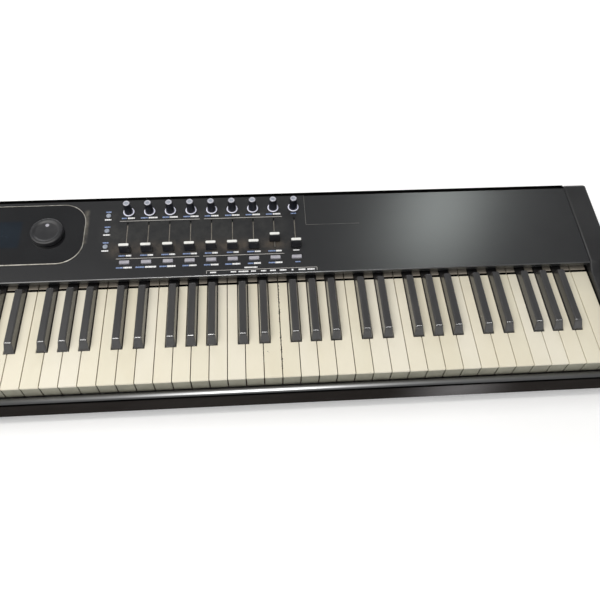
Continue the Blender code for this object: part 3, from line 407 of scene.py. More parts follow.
MATERIALS = {
    "panel": surface("panel_paint", (0.018, 0.0181, 0.0195), (0.021, 0.0212, 0.0222), 0.25,
                     scale=6.0, wear=0.012, grain=0.01, grain_scale=1800.0),
    "case": surface("case_paint", (0.01, 0.01, 0.011), grey(0.015), 0.42, grain=0.05, specular=0.3),
    "cheek": surface("end_cap_plastic", (0.014, 0.014, 0.015), (0.02, 0.02, 0.021), 0.45,
                     grain=0.25, grain_scale=900.0),
    "rail": surface("rail_plastic", (0.021, 0.0185, 0.0172), (0.027, 0.024, 0.0225), 0.45,
                    scale=20.0, stretch=(0.3, 1, 1), specular=0.0),
    "trim": surface("rail_trim_metal", grey(0.2), grey(0.165), 0.3, 0.9, scale=30.0,
                    stretch=(0.15, 1, 1), wear=0.02, grain_scale=700.0),
    "rim": surface("bezel_rim", (0.5, 0.48, 0.43), (0.26, 0.24, 0.2), 0.45, 0.4, scale=90.0),
    "ebony": surface("black_key_plastic", (0.023, 0.022, 0.0225), (0.03, 0.028, 0.028), 0.3,
                     scale=60.0, stretch=(1, 0.25, 1), wear=0.04, grain=0.0, specular=0.6,
                     coat=1.0),
    "knob": surface("knob_plastic", (0.006, 0.007, 0.012), (0.01, 0.011, 0.018), 0.3, scale=150.0),
    "knob_top": surface("knob_top_plastic", (0.46, 0.46, 0.52), (0.58, 0.58, 0.64), 0.45, 0.3,
                        scale=600.0, wear=0.12, grain=0.2, grain_scale=2500.0),
    "ring": surface("light_ring_plastic", (0.82, 0.82, 0.92), (0.68, 0.68, 0.8), 0.35, scale=300.0),
    "fader": surface("fader_plastic", (0.009, 0.009, 0.012), (0.014, 0.014, 0.016), 0.38,
                     scale=120.0),
    "fader_top": surface("fader_top_plastic", (0.86, 0.86, 0.83), (0.78, 0.78, 0.74), 0.3,
                         scale=200.0),
    "button": surface("button_plastic", (0.38, 0.37, 0.42), (0.47, 0.46, 0.5), 0.4, scale=160.0),
    "round_button": surface("round_button_plastic", (0.27, 0.3, 0.36), (0.36, 0.39, 0.44), 0.3,
                            scale=260.0),
    "window": surface("gloss_window_acrylic", (0.004, 0.004, 0.005), (0.008, 0.008, 0.009), 0.07,
                      wear=0.03, grain=0.0, coat=0.6),
    "screen": surface("screen_glass", (0.006, 0.01, 0.016), (0.01, 0.016, 0.024), 0.1, grain=0.0),
    "dial": surface("dial_plastic", (0.014, 0.014, 0.016), (0.02, 0.02, 0.022), 0.36, scale=90.0),
    "wheel": surface("wheel_rubber", (0.018, 0.018, 0.019), grey(0.026), 0.6, scale=80.0,
                     grain=0.2, sheen=0.2),
    "pad": surface("pad_rubber", (0.13, 0.13, 0.14), (0.16, 0.16, 0.17), 0.65, scale=70.0,
                   grain=0.25, grain_scale=1200.0, sheen=0.2),
    "rubber": surface("foot_rubber", grey(0.02), grey(0.03), 0.8, grain=0.4, grain_scale=800.0),
    "sheet": surface("zinc_plate", (0.45, 0.46, 0.48), (0.34, 0.35, 0.37), 0.38, 1.0, scale=45.0,
                     grain=0.06, grain_scale=900.0),
    "rod": surface("ground_steel", grey(0.6), grey(0.5), 0.25, 1.0, stretch=(0.1, 1, 1)),
    "felt": surface("stop_felt", (0.22, 0.04, 0.04), (0.3, 0.07, 0.06), 0.95, scale=200.0,
                    grain=0.6, grain_scale=2500.0, sheen=0.6),
    "board": surface("circuit_board", (0.02, 0.12, 0.05), (0.03, 0.16, 0.07), 0.4, scale=260.0),
    "socket": surface("socket_plastic", grey(0.015), grey(0.024), 0.45, scale=100.0),
    "nickel": surface("nickel_ring", (0.65, 0.64, 0.62), (0.55, 0.54, 0.52), 0.25, 1.0,
                      scale=300.0),
    "screw": surface("screw_steel", (0.1, 0.1, 0.105), grey(0.18), 0.35, 0.9, scale=500.0),
    "insert": surface("socket_insert", (0.05, 0.05, 0.052), grey(0.065), 0.5, scale=300.0),
    "ink_white": surface("white_ink", grey(0.95), (0.85, 0.85, 0.87), 0.5, scale=700.0),
    "ink_line": surface("line_ink", (0.6, 0.58, 0.55), (0.46, 0.44, 0.42), 0.5, scale=700.0),
    "ink_blue": surface("blue_ink", (0.12, 0.19, 0.4), (0.42, 0.52, 0.76), 0.5, scale=1300.0),
    "shield": surface("slot_felt", (0.3, 0.27, 0.23), (0.2, 0.18, 0.15), 0.8, scale=200.0),
    "edging": surface("slot_edging", (0.016, 0.016, 0.017), (0.02, 0.02, 0.021), 0.5),
    # Near-black: dirt in a key slit, the slot shields and the rail's joint, and painted shade in
    # the key grooves, screw crosses, pin holes, slot ends and along the panel's rear edge
    "dark": surface("near_black_and_painted_shade", grey(0.0015), grey(0.003), 0.8, specular=0.0),
    "bend": surface("worn_bend", grey(0.12), grey(0.08), 0.32, 0.8, scale=18.0),
    "seam": surface("worn_edge", (0.17, 0.166, 0.155), (0.08, 0.078, 0.073), 0.5, scale=40.0),
    # The key fronts are the ivory darkened: painted shade
    "front": surface("key_front_shaded_plastic", (0.33, 0.32, 0.255), (0.28, 0.27, 0.215), 0.42,
                     scale=50.0, specular=0.3),
    # The key tails are the ivory darkened: painted shade under the panel's front edge
    "tail": surface("key_tail_shaded_plastic", (0.4, 0.355, 0.295), (0.34, 0.3, 0.25), 0.5,
                    scale=60.0, specular=0.3),
}
# The rings glow as lit light guides; the glow is also painted light that lifts them out of the
# shade they sit in
glow(MATERIALS["ring"], (0.86, 0.86, 1.0), 0.22)

# The white keys' plastic comes in three close tints
IVORY_TINTS = (
    ((0.82, 0.765, 0.62), (0.8, 0.74, 0.585)),
    ((0.83, 0.78, 0.65), (0.8, 0.75, 0.61)),
    ((0.8, 0.75, 0.6), (0.775, 0.715, 0.56)),
)
for tint, (first_colour, second_colour) in enumerate(IVORY_TINTS):
    MATERIALS[f"ivory_{tint}"] = surface(
        f"ivory_{tint}", first_colour, second_colour, 0.3, scale=22.0, stretch=(1, 0.4, 1),
        wear=0.05, grain=0.03, grain_scale=1400.0, specular=0.45)

# Dust on the panel: two corners in metres, colour, amount and how soft its border is
DUST = (
    ((-0.07, 0.05), (0.18, 0.068), (0.15, 0.12, 0.09), 0.65),
    ((-0.08, 0.07), (0.18, 0.125), (0.09, 0.088, 0.08), 0.3),
    ((-0.109, 0.07), (-0.1035, 0.131), (0.3, 0.27, 0.22), 0.7, 0.003),
)


# ---- mesh helpers


def span(centre, half):
    return (centre - half, centre + half)


def beside(centre, side, near, far):
    """The span from near to far on one side of a centre, where side is -1 or 1."""
    return sorted((centre + side * near, centre + side * far))


def box_mm(node):
    """The two corners of a CAD node's box, in millimetres."""
    low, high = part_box(node)
    return low / MM, high / MM


def object_from(bm, name, matrix=None):
    """A smooth-shaded object from a bmesh, whose faces are turned outwards."""
    bmesh.ops.recalc_face_normals(bm, faces=bm.faces)
    mesh = bpy.data.meshes.new(name)
    bm.to_mesh(mesh)
    bm.free()
    if matrix is not None:
        mesh.transform(matrix)
    mesh.shade_smooth()
    mesh.set_sharp_from_angle(angle=math.radians(32))
    obj = bpy.data.objects.new(name, mesh)
    bpy.context.scene.collection.objects.link(obj)
    return obj


def flatten(obj, least=20.0):
    """Shades the large plane faces flat, so that the rounding beside them doesn't tint them."""
    for polygon in obj.data.polygons:
        if polygon.area > least * MM * MM:
            polygon.use_smooth = False


def copy_of(node):
    """A bmesh of a CAD node with its triangles joined back into flat faces."""
    bm = bmesh.new()
    bm.from_mesh(NODES[node].data)
    bmesh.ops.remove_doubles(bm, verts=bm.verts, dist=2e-6)
    bmesh.ops.dissolve_limit(bm, angle_limit=math.radians(0.3), verts=bm.verts, edges=bm.edges)
    return bm


def bevel(obj, width, segments, limit=32.0):
    modifier = obj.modifiers.new("rounding", "BEVEL")
    modifier.width = width * MM
    modifier.segments = segments
    modifier.limit_method = "ANGLE"
    modifier.angle_limit = math.radians(limit)
    modifier.harden_normals = True


def build(bm, name, material, body, replaced=None, matrix=None, rounding=None):
    """A finished piece: its mesh, rounding and material, the body it rides on and the
    CAD node it stands for."""
    obj = object_from(bm, name, matrix)
    if rounding:
        bevel(obj, *rounding)
    obj.data.materials.append(MATERIALS[material])
    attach(obj, body)
    if replaced:
        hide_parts(replaced)
    return obj


def ring(bm, points, height):
    return [bm.verts.new((x * MM, y * MM, height * MM)) for x, y in points]


def skin(bm, rings):
    """Faces from each ring of vertices to the next; a ring of one vertex closes to a point."""
    for upper, lower in zip(rings, rings[1:]):
        count = max(len(upper), len(lower))
        for i in range(count):
            j = (i + 1) % count
            if len(upper) == 1:
                bm.faces.new((upper[0], lower[i], lower[j]))
            elif len(lower) == 1:
                bm.faces.new((upper[i], lower[0], upper[j]))
            else:
                bm.faces.new((upper[i], lower[i], lower[j], upper[j]))


def frustum(bm, base, top, z):
    """A closed body between two outlines with the same number of (x, y) points."""
    rings = [ring(bm, base, z[0]), ring(bm, top, z[1])]
    bm.faces.new(rings[0])
    bm.faces.new(list(reversed(rings[1])))
    skin(bm, rings)


def prism(bm, outline, z):
    frustum(bm, outline, outline, z)


def rectangle(x, y):
    return [(x[0], y[0]), (x[1], y[0]), (x[1], y[1]), (x[0], y[1])]


def box(bm, x, y, z):
    prism(bm, rectangle(x, y), z)


def rounded_rectangle(x, y, radius, steps):
    corners = (
        (x[1] - radius, y[0] + radius, -90),
        (x[1] - radius, y[1] - radius, 0),
        (x[0] + radius, y[1] - radius, 90),
        (x[0] + radius, y[0] + radius, 180),
    )
    points = []
    for middle_x, middle_y, start in corners:
        for step in range(steps + 1):
            turn = math.radians(start + 90 * step / steps)
            points.append((middle_x + radius * math.cos(turn), middle_y + radius * math.sin(turn)))
    return points


def around(segments, reach, centre):
    """Points round a centre, as far from it as reach gives for each angle."""
    points = []
    for i in range(segments):
        angle = 2 * math.pi * i / segments
        away = reach(angle)
        points.append((centre[0] + away * math.cos(angle), centre[1] + away * math.sin(angle)))
    return points


def ripple(angle, count, depth):
    """How far a surface with this many ribs lies inside its full radius at an angle."""
    return depth * (0.5 + 0.5 * math.cos(count * angle))


def turned_rings(bm, profile, segments, centre, ribs=(0, 0.0), rib_span=(0, 0)):
    """Rings for (radius, height) pairs; ribs is their count and depth, between two heights."""
    rings = []
    for radius, height in profile:
        depth = ribs[1] if rib_span[0] <= height <= rib_span[1] else 0.0
        points = [centre]
        if radius:
            points = around(segments, lambda angle: radius - ripple(angle, ribs[0], depth), centre)
        rings.append(ring(bm, points, height))
    return rings


def lathe(bm, profile, segments, centre=(0, 0), *ribs):
    """A turned body, from its top on the axis to its bottom."""
    skin(bm, turned_rings(bm, profile, segments, centre, *ribs))


def tube(bm, outer, inner, z, segments, centre, edge):
    """A tube with softened top edges."""
    low, high = z
    profile = [(inner, low), (inner, high - edge), (inner + edge, high)]
    profile += [(outer - edge, high), (outer, high - edge), (outer, low)]
    rings = turned_rings(bm, profile, segments, centre)
    skin(bm, rings + rings[:1])


def column_x(column):
    return FIRST_COLUMN + COLUMN_PITCH * column


def add_screws(name, places, size, matrix):
    """Screw heads: low domes, each with a dark cross on it, painted shade that stands for a cross
    recess.
    """
    radius, height = size
    dome = [(0.0, height), (0.55 * radius, 0.95 * height), (0.85 * radius, 0.6 * height)]
    dome += [(radius, 0.1 * height), (radius, -0.3), (0.0, -0.3)]
    long = 0.55 * radius
    wide = 0.12 * radius
    z = (0.5 * height, height + 0.03)
    heads = bmesh.new()
    cross_shades = bmesh.new()
    for x, y in places:
        lathe(heads, dome, 32, (x, y))
        box(cross_shades, span(x, long), span(y, wide), z)
        box(cross_shades, span(x, wide), (y - long, y - wide), z)
        box(cross_shades, span(x, wide), (y + wide, y + long), z)
    build(heads, name + "s", "screw", "chassis", matrix=matrix)
    build(cross_shades, name + "_cross_painted_shade", "dark", "chassis", matrix=matrix)


# ---- keys

WHITE_FINISH = "white_key_plastic"
BLACK_FINISH = "black_key_plastic"


def keyboard():
    """Each white key: number, letter, octave, left boundary, the letter of a black key before it
    if there is one, and whether one comes after it."""
    for index in range(WHITE_COUNT):
        place = index + FIRST_LETTER
        letter = WHITE_NAMES[place % 7]
        before = WHITE_NAMES[(place - 1) % 7]
        cut_left = before if index > 0 and before in BLACK_OFFSETS else None
        cut_right = index < WHITE_COUNT - 1 and letter in BLACK_OFFSETS
        yield index, letter, place // 7, -KEYBED_HALF + index * WHITE_PITCH, cut_left, cut_right


def white_key(index, letter, octave, left, cut_left, cut_right, groove_shades):
    single = octave == MIDDLE_OCTAVE
    node = f"key_{letter}{octave}" if single else "white_keys"
    name = f"white_{index + 1:02d}_{letter}{octave}"
    x0 = left + KEY_SLIT / 2
    x1 = left + WHITE_PITCH - KEY_SLIT / 2
    tail0 = left + BLACK_OFFSETS[cut_left] + BLACK_SLOT / 2 if cut_left else x0
    tail1 = left + WHITE_PITCH + BLACK_OFFSETS[letter] - BLACK_SLOT / 2 if cut_right else x1
    tail_x = (tail0 + TAIL_INSET, tail1 - TAIL_INSET)
    outline = [(x0, KEY_FRONT), (x1, KEY_FRONT)]
    if cut_right:
        outline += [(x1, SHOULDER), (tail1, SHOULDER)]
    outline += [(tail1, GROOVE[0]), (tail0, GROOVE[0])]
    if cut_left:
        outline += [(tail0, SHOULDER), (x0, SHOULDER)]
    bm = bmesh.new()
    prism(bm, outline, (KEY_TOP - PLATE_HEIGHT, KEY_TOP))
    low = KEY_TOP - TAIL_HEIGHT
    under = KEY_TOP - UNDER_PLATE
    box(bm, tail_x, (SHOULDER - LAP, ROD_NOTCH[0]), (low, under))
    ivory = f"ivory_{(index * 5 + index // 3) % len(IVORY_TINTS)}"
    build(bm, name, ivory, node, node, rounding=(0.55, 3))
    # The front wall stands back under the lip of the top
    # The front wall's darker colour is painted shade
    bm = bmesh.new()
    wall_x = (x0 + FRONT_INSET, x1 - FRONT_INSET)
    box(bm, wall_x, (KEY_FRONT + LIP, SHOULDER - 0.3), (KEY_TOP - HEAD_HEIGHT, KEY_TOP - 2.2))
    build(bm, name + "_front", "front", node, node, rounding=(0.4, 2))
    # Behind the groove the key drops a little, and is notched over the pivot rod
    # The tail's darker colour is painted shade, for the panel above it
    rear, rear_top = (TAIL_END, TAIL_END_TOP) if single else (SET_TAIL_END, SET_TAIL_END_TOP)
    bm = bmesh.new()
    tail_z = (KEY_TOP - TAIL_PLATE_HEIGHT, KEY_TOP - TAIL_DROP)
    box(bm, tail_x, (GROOVE[1], BAR_FRONT - LAP), tail_z)
    box(bm, tail_x, (ROD_NOTCH[0] - LAP, min(rear, BAR_FRONT - 0.9)), (ROD_NOTCH_TOP, under))
    box(bm, tail_x, (ROD_NOTCH[1], rear), (low, rear_top))
    build(bm, name + "_tail", "tail", node, node, rounding=(0.4, 2))
    groove_painted_shade(groove_shades.setdefault(node, bmesh.new()), tail_x)


def black_key(letter, octave, centre, number):
    single = octave == MIDDLE_OCTAVE
    node = f"key_{letter}sharp{octave}" if single else "black_keys"
    name = f"black_{number:02d}_{letter}sharp{octave}"
    x = span(centre, BLACK_WIDTH / 2)
    # The visible block, whose sides and ends lean in to the top
    foot = rectangle(x, (BLACK_FRONT, BLACK_END))
    top_y = (BLACK_FRONT + BLACK_FRONT_LEAN, BLACK_END - BLACK_END_LEAN)
    top = rectangle(span(centre, BLACK_TOP_WIDTH / 2), top_y)
    bm = bmesh.new()
    frustum(bm, foot, top, (KEY_TOP + 0.2, KEY_TOP + BLACK_RISE))
    block = build(bm, name, "ebony", node, node, rounding=(1.8, 5))
    EDGED.objects.link(block)
    bm = bmesh.new()
    low = KEY_TOP - TAIL_HEIGHT
    box(bm, x, (BLACK_FRONT, ROD_NOTCH[0]), (low, BLACK_FOOT))
    box(bm, x, (ROD_NOTCH[0] - LAP, BAR_FRONT - 1.3), (ROD_NOTCH_TOP, BLACK_FOOT))
    if single:
        box(bm, x, (ROD_NOTCH[1], TAIL_END), (low, ROD_NOTCH_TOP + 1))
    else:
        box(bm, x, (ROD_NOTCH[1], SET_TAIL_END), (71.4, BLACK_FOOT))
    build(bm, name + "_body", "ebony", node, node, rounding=(0.3, 1))


def groove_painted_shade(bm, x):
    """Painted shade in the groove: a dark floor, and dark lines along the two edges that face it.
    """
    box(bm, x, (GROOVE[0] - 0.4, GROOVE[1] + 0.4), (GROOVE_FLOOR - 0.12, GROOVE_FLOOR + 0.05))
    box(bm, x, (GROOVE[0] - 0.02, GROOVE[0] + 0.12), (GROOVE_FLOOR, KEY_TOP - 0.45))
    box(bm, x, (GROOVE[1] - 0.12, GROOVE[1] + 1.3), (GROOVE_FLOOR, KEY_TOP - TAIL_DROP + 0.04))


def make_keys():
    number = 0
    groove_shades = {}
    for key in keyboard():
        letter, octave, left = key[1:4]
        white_key(*key, groove_shades)
        if key[-1]:
            number += 1
            black_key(letter, octave, left + WHITE_PITCH + BLACK_OFFSETS[letter], number)
    # Each groove's dark lining is painted shade
    for node, bm in groove_shades.items():
        build(bm, node + "_groove_painted_shade", "dark", node)
    # Each set of keys is joined by a bar behind the pivot
    bars = (("white_keys", "ivory_0", WHITE_FINISH), ("black_keys", "ebony", BLACK_FINISH))
    for body, material, slot in bars:
        bm = bmesh.new()
        box(bm, span(0.0, KEYBED_HALF - 1), (BAR_FRONT, SET_TAIL_END), BAR_SPANS[body])
        build(bm, body + "_bar", material, body, body, rounding=(0.5, 2))


def make_grime():
    """Specks of dirt along the slit between two of the white keys, and two on a key's top."""
    chance = random.Random(7)
    slit = -KEYBED_HALF + GRIMY_SLIT * WHITE_PITCH
    for node, side in (("key_E5", -1), ("key_F5", 1)):
        bm = bmesh.new()
        edge = slit + side * KEY_SLIT / 2
        for _ in range(GRIME_PIECES):
            y = chance.uniform(KEY_FRONT + 8.0, GROOVE[0] - 4.0)
            reach = chance.uniform(0.15, 0.75)
            length = chance.uniform(0.4, 2.2)
            x = beside(edge, side, -0.03, reach)
            box(bm, x, (y, y + length), (KEY_TOP - 0.6, KEY_TOP + 0.04))
        build(bm, node + "_grime", "dark", node)
    bm = bmesh.new()
    for x, y, radius in SPECKS:
        speck = [(0.0, KEY_TOP + 0.06), (radius, KEY_TOP + 0.03), (radius, KEY_TOP - 0.1)]
        lathe(bm, speck + [(0.0, KEY_TOP - 0.1)], 12, (x, y))
    build(bm, "key_speck", "seam", "key_E5")


# ---- controls on the panel


def make_knobs():
    """Encoder caps: a ribbed black body that narrows upwards, with a silver disc and a grey
    dimple let into its top."""
    top = KNOB_HEIGHT
    cap = [(0.0, top - 0.6), (4.6, top - 0.6), (4.75, top - 0.15), (5.1, top - 0.1)]
    cap += [(5.35, top - 0.5), (5.42, top - 1.4), (5.5, 14.0), (5.6, 9.0), (5.85, 4.5), (6.1, 2.2)]
    cap += [(6.15, 0.5), (3.0, 0.5), (3.0, SHAFT_END), (0.0, SHAFT_END)]
    disc = [(0.0, top - 0.25), (2.9, top - 0.22), (3.3, top - 0.02), (4.1, top - 0.02)]
    disc += [(4.6, top - 0.35), (4.6, top - 0.7), (0.0, top - 0.7)]
    dimple = [(0.0, top - 0.2), (2.4, top - 0.19), (2.7, top - 0.24), (2.7, top - 0.4)]
    dimple += [(0.0, top - 0.4)]
    for column in range(COLUMNS):
        node = f"encoder_knob_{column + 1}"
        for part, profile, segments, ribs, material, replaced in (
            ("_body", cap, 96, ((24, 0.22), (2.0, top - 1.0)), "knob", node),
            ("_top", disc, 64, (), "knob_top", node),
            ("_dimple", dimple, 48, (), "round_button", None),
        ):
            bm = bmesh.new()
            lathe(bm, profile, segments, (column_x(column), KNOB_ROW), *ribs)
            build(bm, node + part, material, node, replaced, PANEL)


def make_light_rings():
    """The light guide's rings, joined by a plate under the panel, and a dark collar round each."""
    rings = bmesh.new()
    collars = bmesh.new()
    for column in range(COLUMNS):
        centre = (column_x(column), KNOB_ROW)
        tube(rings, 7.9, 6.55, (-2.3, 1.2), 64, centre, 0.4)
        tube(collars, 9.0, 8.05, (0.03, 0.55), 64, centre, 0.2)
    plate_x = (column_x(0) - 11, column_x(COLUMNS - 1) + 11)
    box(rings, plate_x, span(KNOB_ROW, 10.5), (-4.2, -2.4))
    build(rings, "light_rings", "ring", "chassis", "light_guide", PANEL)
    build(collars, "ring_collars", "knob", "chassis", matrix=PANEL)


def make_faders():
    """Fader caps: a black wedge, wider at its foot, with a white crown."""
    for column in range(COLUMNS):
        node = f"fader_cap_{column + 1}"
        low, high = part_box(node)
        x = column_x(column)
        y = (PANEL.inverted() @ ((low + high) / 2)).y / MM
        wedge = bmesh.new()
        foot = rectangle(span(x, 7.6), span(y, 4.9))
        frustum(wedge, foot, rectangle(span(x, 7.1), span(y, 2.5)), (1.0, 12.4))
        neck = rectangle(span(x, 6.9), span(y, 2.0))
        frustum(wedge, neck, rectangle(span(x, 6.8), span(y, 1.9)), (12.0, 13.2))
        stem = bmesh.new()
        box(stem, span(x, 0.6), span(y, 2.0), (-8.4, 1.6))
        crown = bmesh.new()
        prism(crown, rounded_rectangle(span(x, 7.0), span(y, 2.0), 1.4, 5), (13.0, 14.5))
        for part, bm, material, rounding in (
            ("_body", wedge, "fader", (0.55, 3)),
            ("_stem", stem, "fader", (0.15, 1)),
            ("_crown", crown, "fader_top", (0.6, 4, 50)),
        ):
            build(bm, node + part, material, node, node, PANEL, rounding)


def make_slot_shields():
    """The dust shield under each fader slot, its dark edging, the two pale felt flaps along it
    and a dark dot at its far end, painted shade for the slot's end, clear of the fader's stem."""
    shields, edging, flaps, ends = (bmesh.new() for _ in range(4))
    low = FADER_LOW - SLOT_MARGIN
    high = FADER_LOW + FADER_TRAVEL + SLOT_MARGIN
    for column in range(COLUMNS):
        x = column_x(column)
        lathe(ends, [(0.0, 0.06), (1.0, 0.06), (1.0, 0.02), (0.0, 0.02)], 24, (x, high - 0.1))
        for side in (-1, 1):
            box(shields, beside(x, side, 0.8, 5.0), (low - 4.0, high + 4.0), (-4.6, -3.9))
            box(edging, beside(x, side, 0.56, 1.48), (low, high), (-1.0, -0.3))
            box(flaps, beside(x, side, 0.05, 0.45), (low + 1.5, high - 4.0), (-1.2, -0.5))
    for name, bm, material in (
        ("slot_shields", shields, "dark"),
        ("slot_edging", edging, "edging"),
        ("slot_flaps", flaps, "shield"),
        ("slot_end_painted_shade", ends, "dark"),
    ):
        build(bm, name, material, "chassis", matrix=PANEL)


def button_web(bm, x, y):
    box(bm, x, y, (-4.4, -2.6))


def make_buttons():
    """Oblong select buttons and round page and command buttons, each group on its web."""
    bm = bmesh.new()
    for column in range(COLUMNS):
        x = column_x(column)
        base = rectangle(span(x, 7.2), span(SELECT_ROW, 3.05))
        top = rectangle(span(x, 6.9), (SELECT_ROW - 2.1, SELECT_ROW + 2.75))
        frustum(bm, base, top, (-3.4, 1.5))
    button_web(bm, (column_x(0) - 9, column_x(COLUMNS - 1) + 9), span(SELECT_ROW, 4.8))
    build(bm, "select_button_caps", "button", "select_buttons",
          "select_buttons", PANEL, (0.6, 4))
    radius = ROUND_BUTTON / 2
    profile = [(0.0, 1.35), (2.2, 1.45), (radius - 0.5, 1.3), (radius - 0.1, 0.95), (radius, 0.4)]
    profile += [(radius, -3.4), (0.0, -3.4)]
    for node, columns, rows, margin in (
        ("page_buttons", (PAGE_X,), PAGE_ROWS, 5),
        ("command_buttons", COMMAND_COLUMNS, COMMAND_ROWS, 6),
    ):
        bm = bmesh.new()
        for y in rows:
            for x in columns:
                lathe(bm, profile, 40, (x, y))
        button_web(bm, (columns[0] - margin, columns[-1] + margin), (rows[0] - 6, rows[-1] + 6))
        build(bm, node + "_caps", "round_button", node, node, PANEL)


def make_pads():
    bm = bmesh.new()
    middle = (PAD_COUNT - 1) / 2
    for row in range(PAD_COUNT):
        for column in range(PAD_COUNT):
            x = span(PAD_CENTRE[0] + PAD_PITCH * (column - middle), PAD_SIZE / 2)
            y = span(PAD_CENTRE[1] + PAD_PITCH * (row - middle), PAD_SIZE / 2)
            prism(bm, rounded_rectangle(x, y, 2.0, 5), (-3.5, 2.4))
    half = PAD_COUNT * PAD_PITCH / 2 + 1
    box(bm, span(PAD_CENTRE[0], half), span(PAD_CENTRE[1], half), (-4.4, -2.5))
    build(bm, "pads", "pad", "chassis", "pad_mat", PANEL, (0.9, 4, 50))


def bezel_outline(inset):
    """The window's outline, moved inwards."""
    x = (BEZEL_X[0] + inset, BEZEL_X[1] - inset)
    y = (BEZEL_Y[0] + inset, BEZEL_Y[1] - inset)
    return rounded_rectangle(x, y, BEZEL_RADIUS - inset, 20)


def make_window():
    """The glossy plate with a pale rim, the dark screen on it and the dial."""
    bm = bmesh.new()
    prism(bm, bezel_outline(RIM_WIDTH), (-0.9, 0.55))
    build(bm, "window_plate", "window", "chassis", "display_window", PANEL,
          (0.3, 3, 50))
    bm = bmesh.new()
    outer = bezel_outline(0.0)
    inside = bezel_outline(RIM_WIDTH + 0.1)
    corners = ((outer, -0.9), (outer, 0.3), (inside, 0.6), (inside, -0.9))
    rings = [ring(bm, points, z) for points, z in corners]
    skin(bm, rings + rings[:1])
    build(bm, "window_rim", "rim", "chassis", "display_window", PANEL)
    bm = bmesh.new()
    prism(bm, rounded_rectangle(*SCREEN, 2.0, 5), (0.56, 0.6))
    build(bm, "screen", "screen", "chassis", matrix=PANEL)

    axis = PANEL.inverted() @ Vector(JOINTS["jog_dial_turn"]["pos_m"]) / MM
    bm = bmesh.new()
    dial = [(0.0, 7.0), (14.5, 7.0), (16.0, 7.2), (17.5, 8.1), (19.0, 8.4), (21.0, 8.4)]
    dial += [(22.2, 7.9), (22.9, 6.8), (23.0, 5.5), (23.0, 1.3), (22.6, 1.1), (3.0, 1.1)]
    dial += [(3.0, SHAFT_END), (0.0, SHAFT_END)]
    lathe(bm, dial, 144, (axis.x, axis.y), (48, 0.35), (1.2, 7.0))
    build(bm, "jog_dial_cap", "dial", "jog_dial", "jog_dial", PANEL)
    bm = bmesh.new()
    spot = [(0.0, 7.15), (2.2, 7.15), (2.6, 7.05), (2.6, 6.9), (0.0, 6.9)]
    lathe(bm, spot, 32, (axis.x, axis.y + 10.5))
    build(bm, "jog_dial_spot", "button", "jog_dial", matrix=PANEL)


def make_wheels():
    """Rubber wheels with fine grip ribs and a round finger notch across the rim, at the top of
    the pitch wheel and in front of the top of the mod wheel."""
    for node, lean in (("pitch_wheel", 0.0), ("mod_wheel", math.radians(MOD_WHEEL_LEAN))):
        low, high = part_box(node)
        axis = Vector(JOINTS[node + "_turn"]["pos_m"])
        half = (high.x - low.x) / MM / 2
        bm = bmesh.new()

        def rim(angle):
            turn = (angle - math.pi / 2 - lean + math.pi) % (2 * math.pi) - math.pi
            away = turn * WHEEL_RADIUS
            reach = WHEEL_RADIUS - ripple(angle, *WHEEL_RIBS)
            if abs(away) < NOTCH_WIDTH / 2:
                reach -= NOTCH_DEPTH * math.cos(math.pi * away / NOTCH_WIDTH) ** 2
            return reach

        rings = []
        edge = ((0.0, 1.6), (0.4, 0.7), (1.4, 0.0))
        sections = [(-half + x, inset) for x, inset in edge]
        sections += [(half - x, inset) for x, inset in reversed(edge)]
        for x, inset in sections:
            points = around(WHEEL_STEPS, lambda angle: rim(angle) - inset, (0, 0))
            rings.append(ring(bm, points, x))
        for x in (half, -half):
            rings.append(ring(bm, around(WHEEL_STEPS, lambda angle: WHEEL_BORE, (0, 0)), x))
        skin(bm, rings + rings[:1])
        place = Matrix.Translation(((low.x + high.x) / 2, axis.y, axis.z))
        build(bm, node + "_rim", "wheel", node, node, place @ ALONG_X)


# ---- print on the panel


def dashes(bm, x, y, width, height, seed):
    """A row of short strokes that stands for a caption."""
    chance = random.Random(seed)
    at = x - width / 2
    end = x + width / 2
    while at < end - 0.5:
        stroke = min(chance.uniform(1.0, 3.0), end - at)
        tall = height * chance.uniform(0.8, 1.0)
        box(bm, (at, at + stroke), span(y, tall / 2), INK_DEPTH)
        at += stroke + chance.uniform(0.15, 0.35)


RULE_ROWS = (99.4, 33.5)
RULE_SPANS = ((-58.8, 55.9), (62.0, 175.6))
RULE_WIDTH = 0.75
# Rows of captions: y, height, the blue share, and the width over each column
KNOB_CAPTIONS = 104.6
FADER_CAPTIONS = 38.5
SELECT_CAPTIONS = 18.5
CAPTION_ROWS = (
    (KNOB_CAPTIONS, 2.6, 0.45, (18.5, 24.2, 21.9, 21.9, 19.9, 20.8, 20.8, 21.5)),
    (FADER_CAPTIONS, 2.5, 0.55, (17.3, 17.8, 18.9, 19.6, 17.8, 16.6, 18.9, 19.6)),
    (SELECT_CAPTIONS, 2.6, 0.45, (21.5, 28.2, 22.4, 19.2, 20.1, 20.8, 18.0, 19.9)),
)
# The bracket along the front edge, and the x and width of the captions in it
BRACKET = (66.6, 220.0)
BRACKET_CAPTIONS = (
    (76.0, 8.6), (103.7, 7.4), (117.5, 13.5), (131.3, 6.7), (145.4, 7.1),
    (158.5, 8.1), (172.8, 9.6), (185.8, 2.8), (198.8, 9.6), (211.8, 11.0),
)


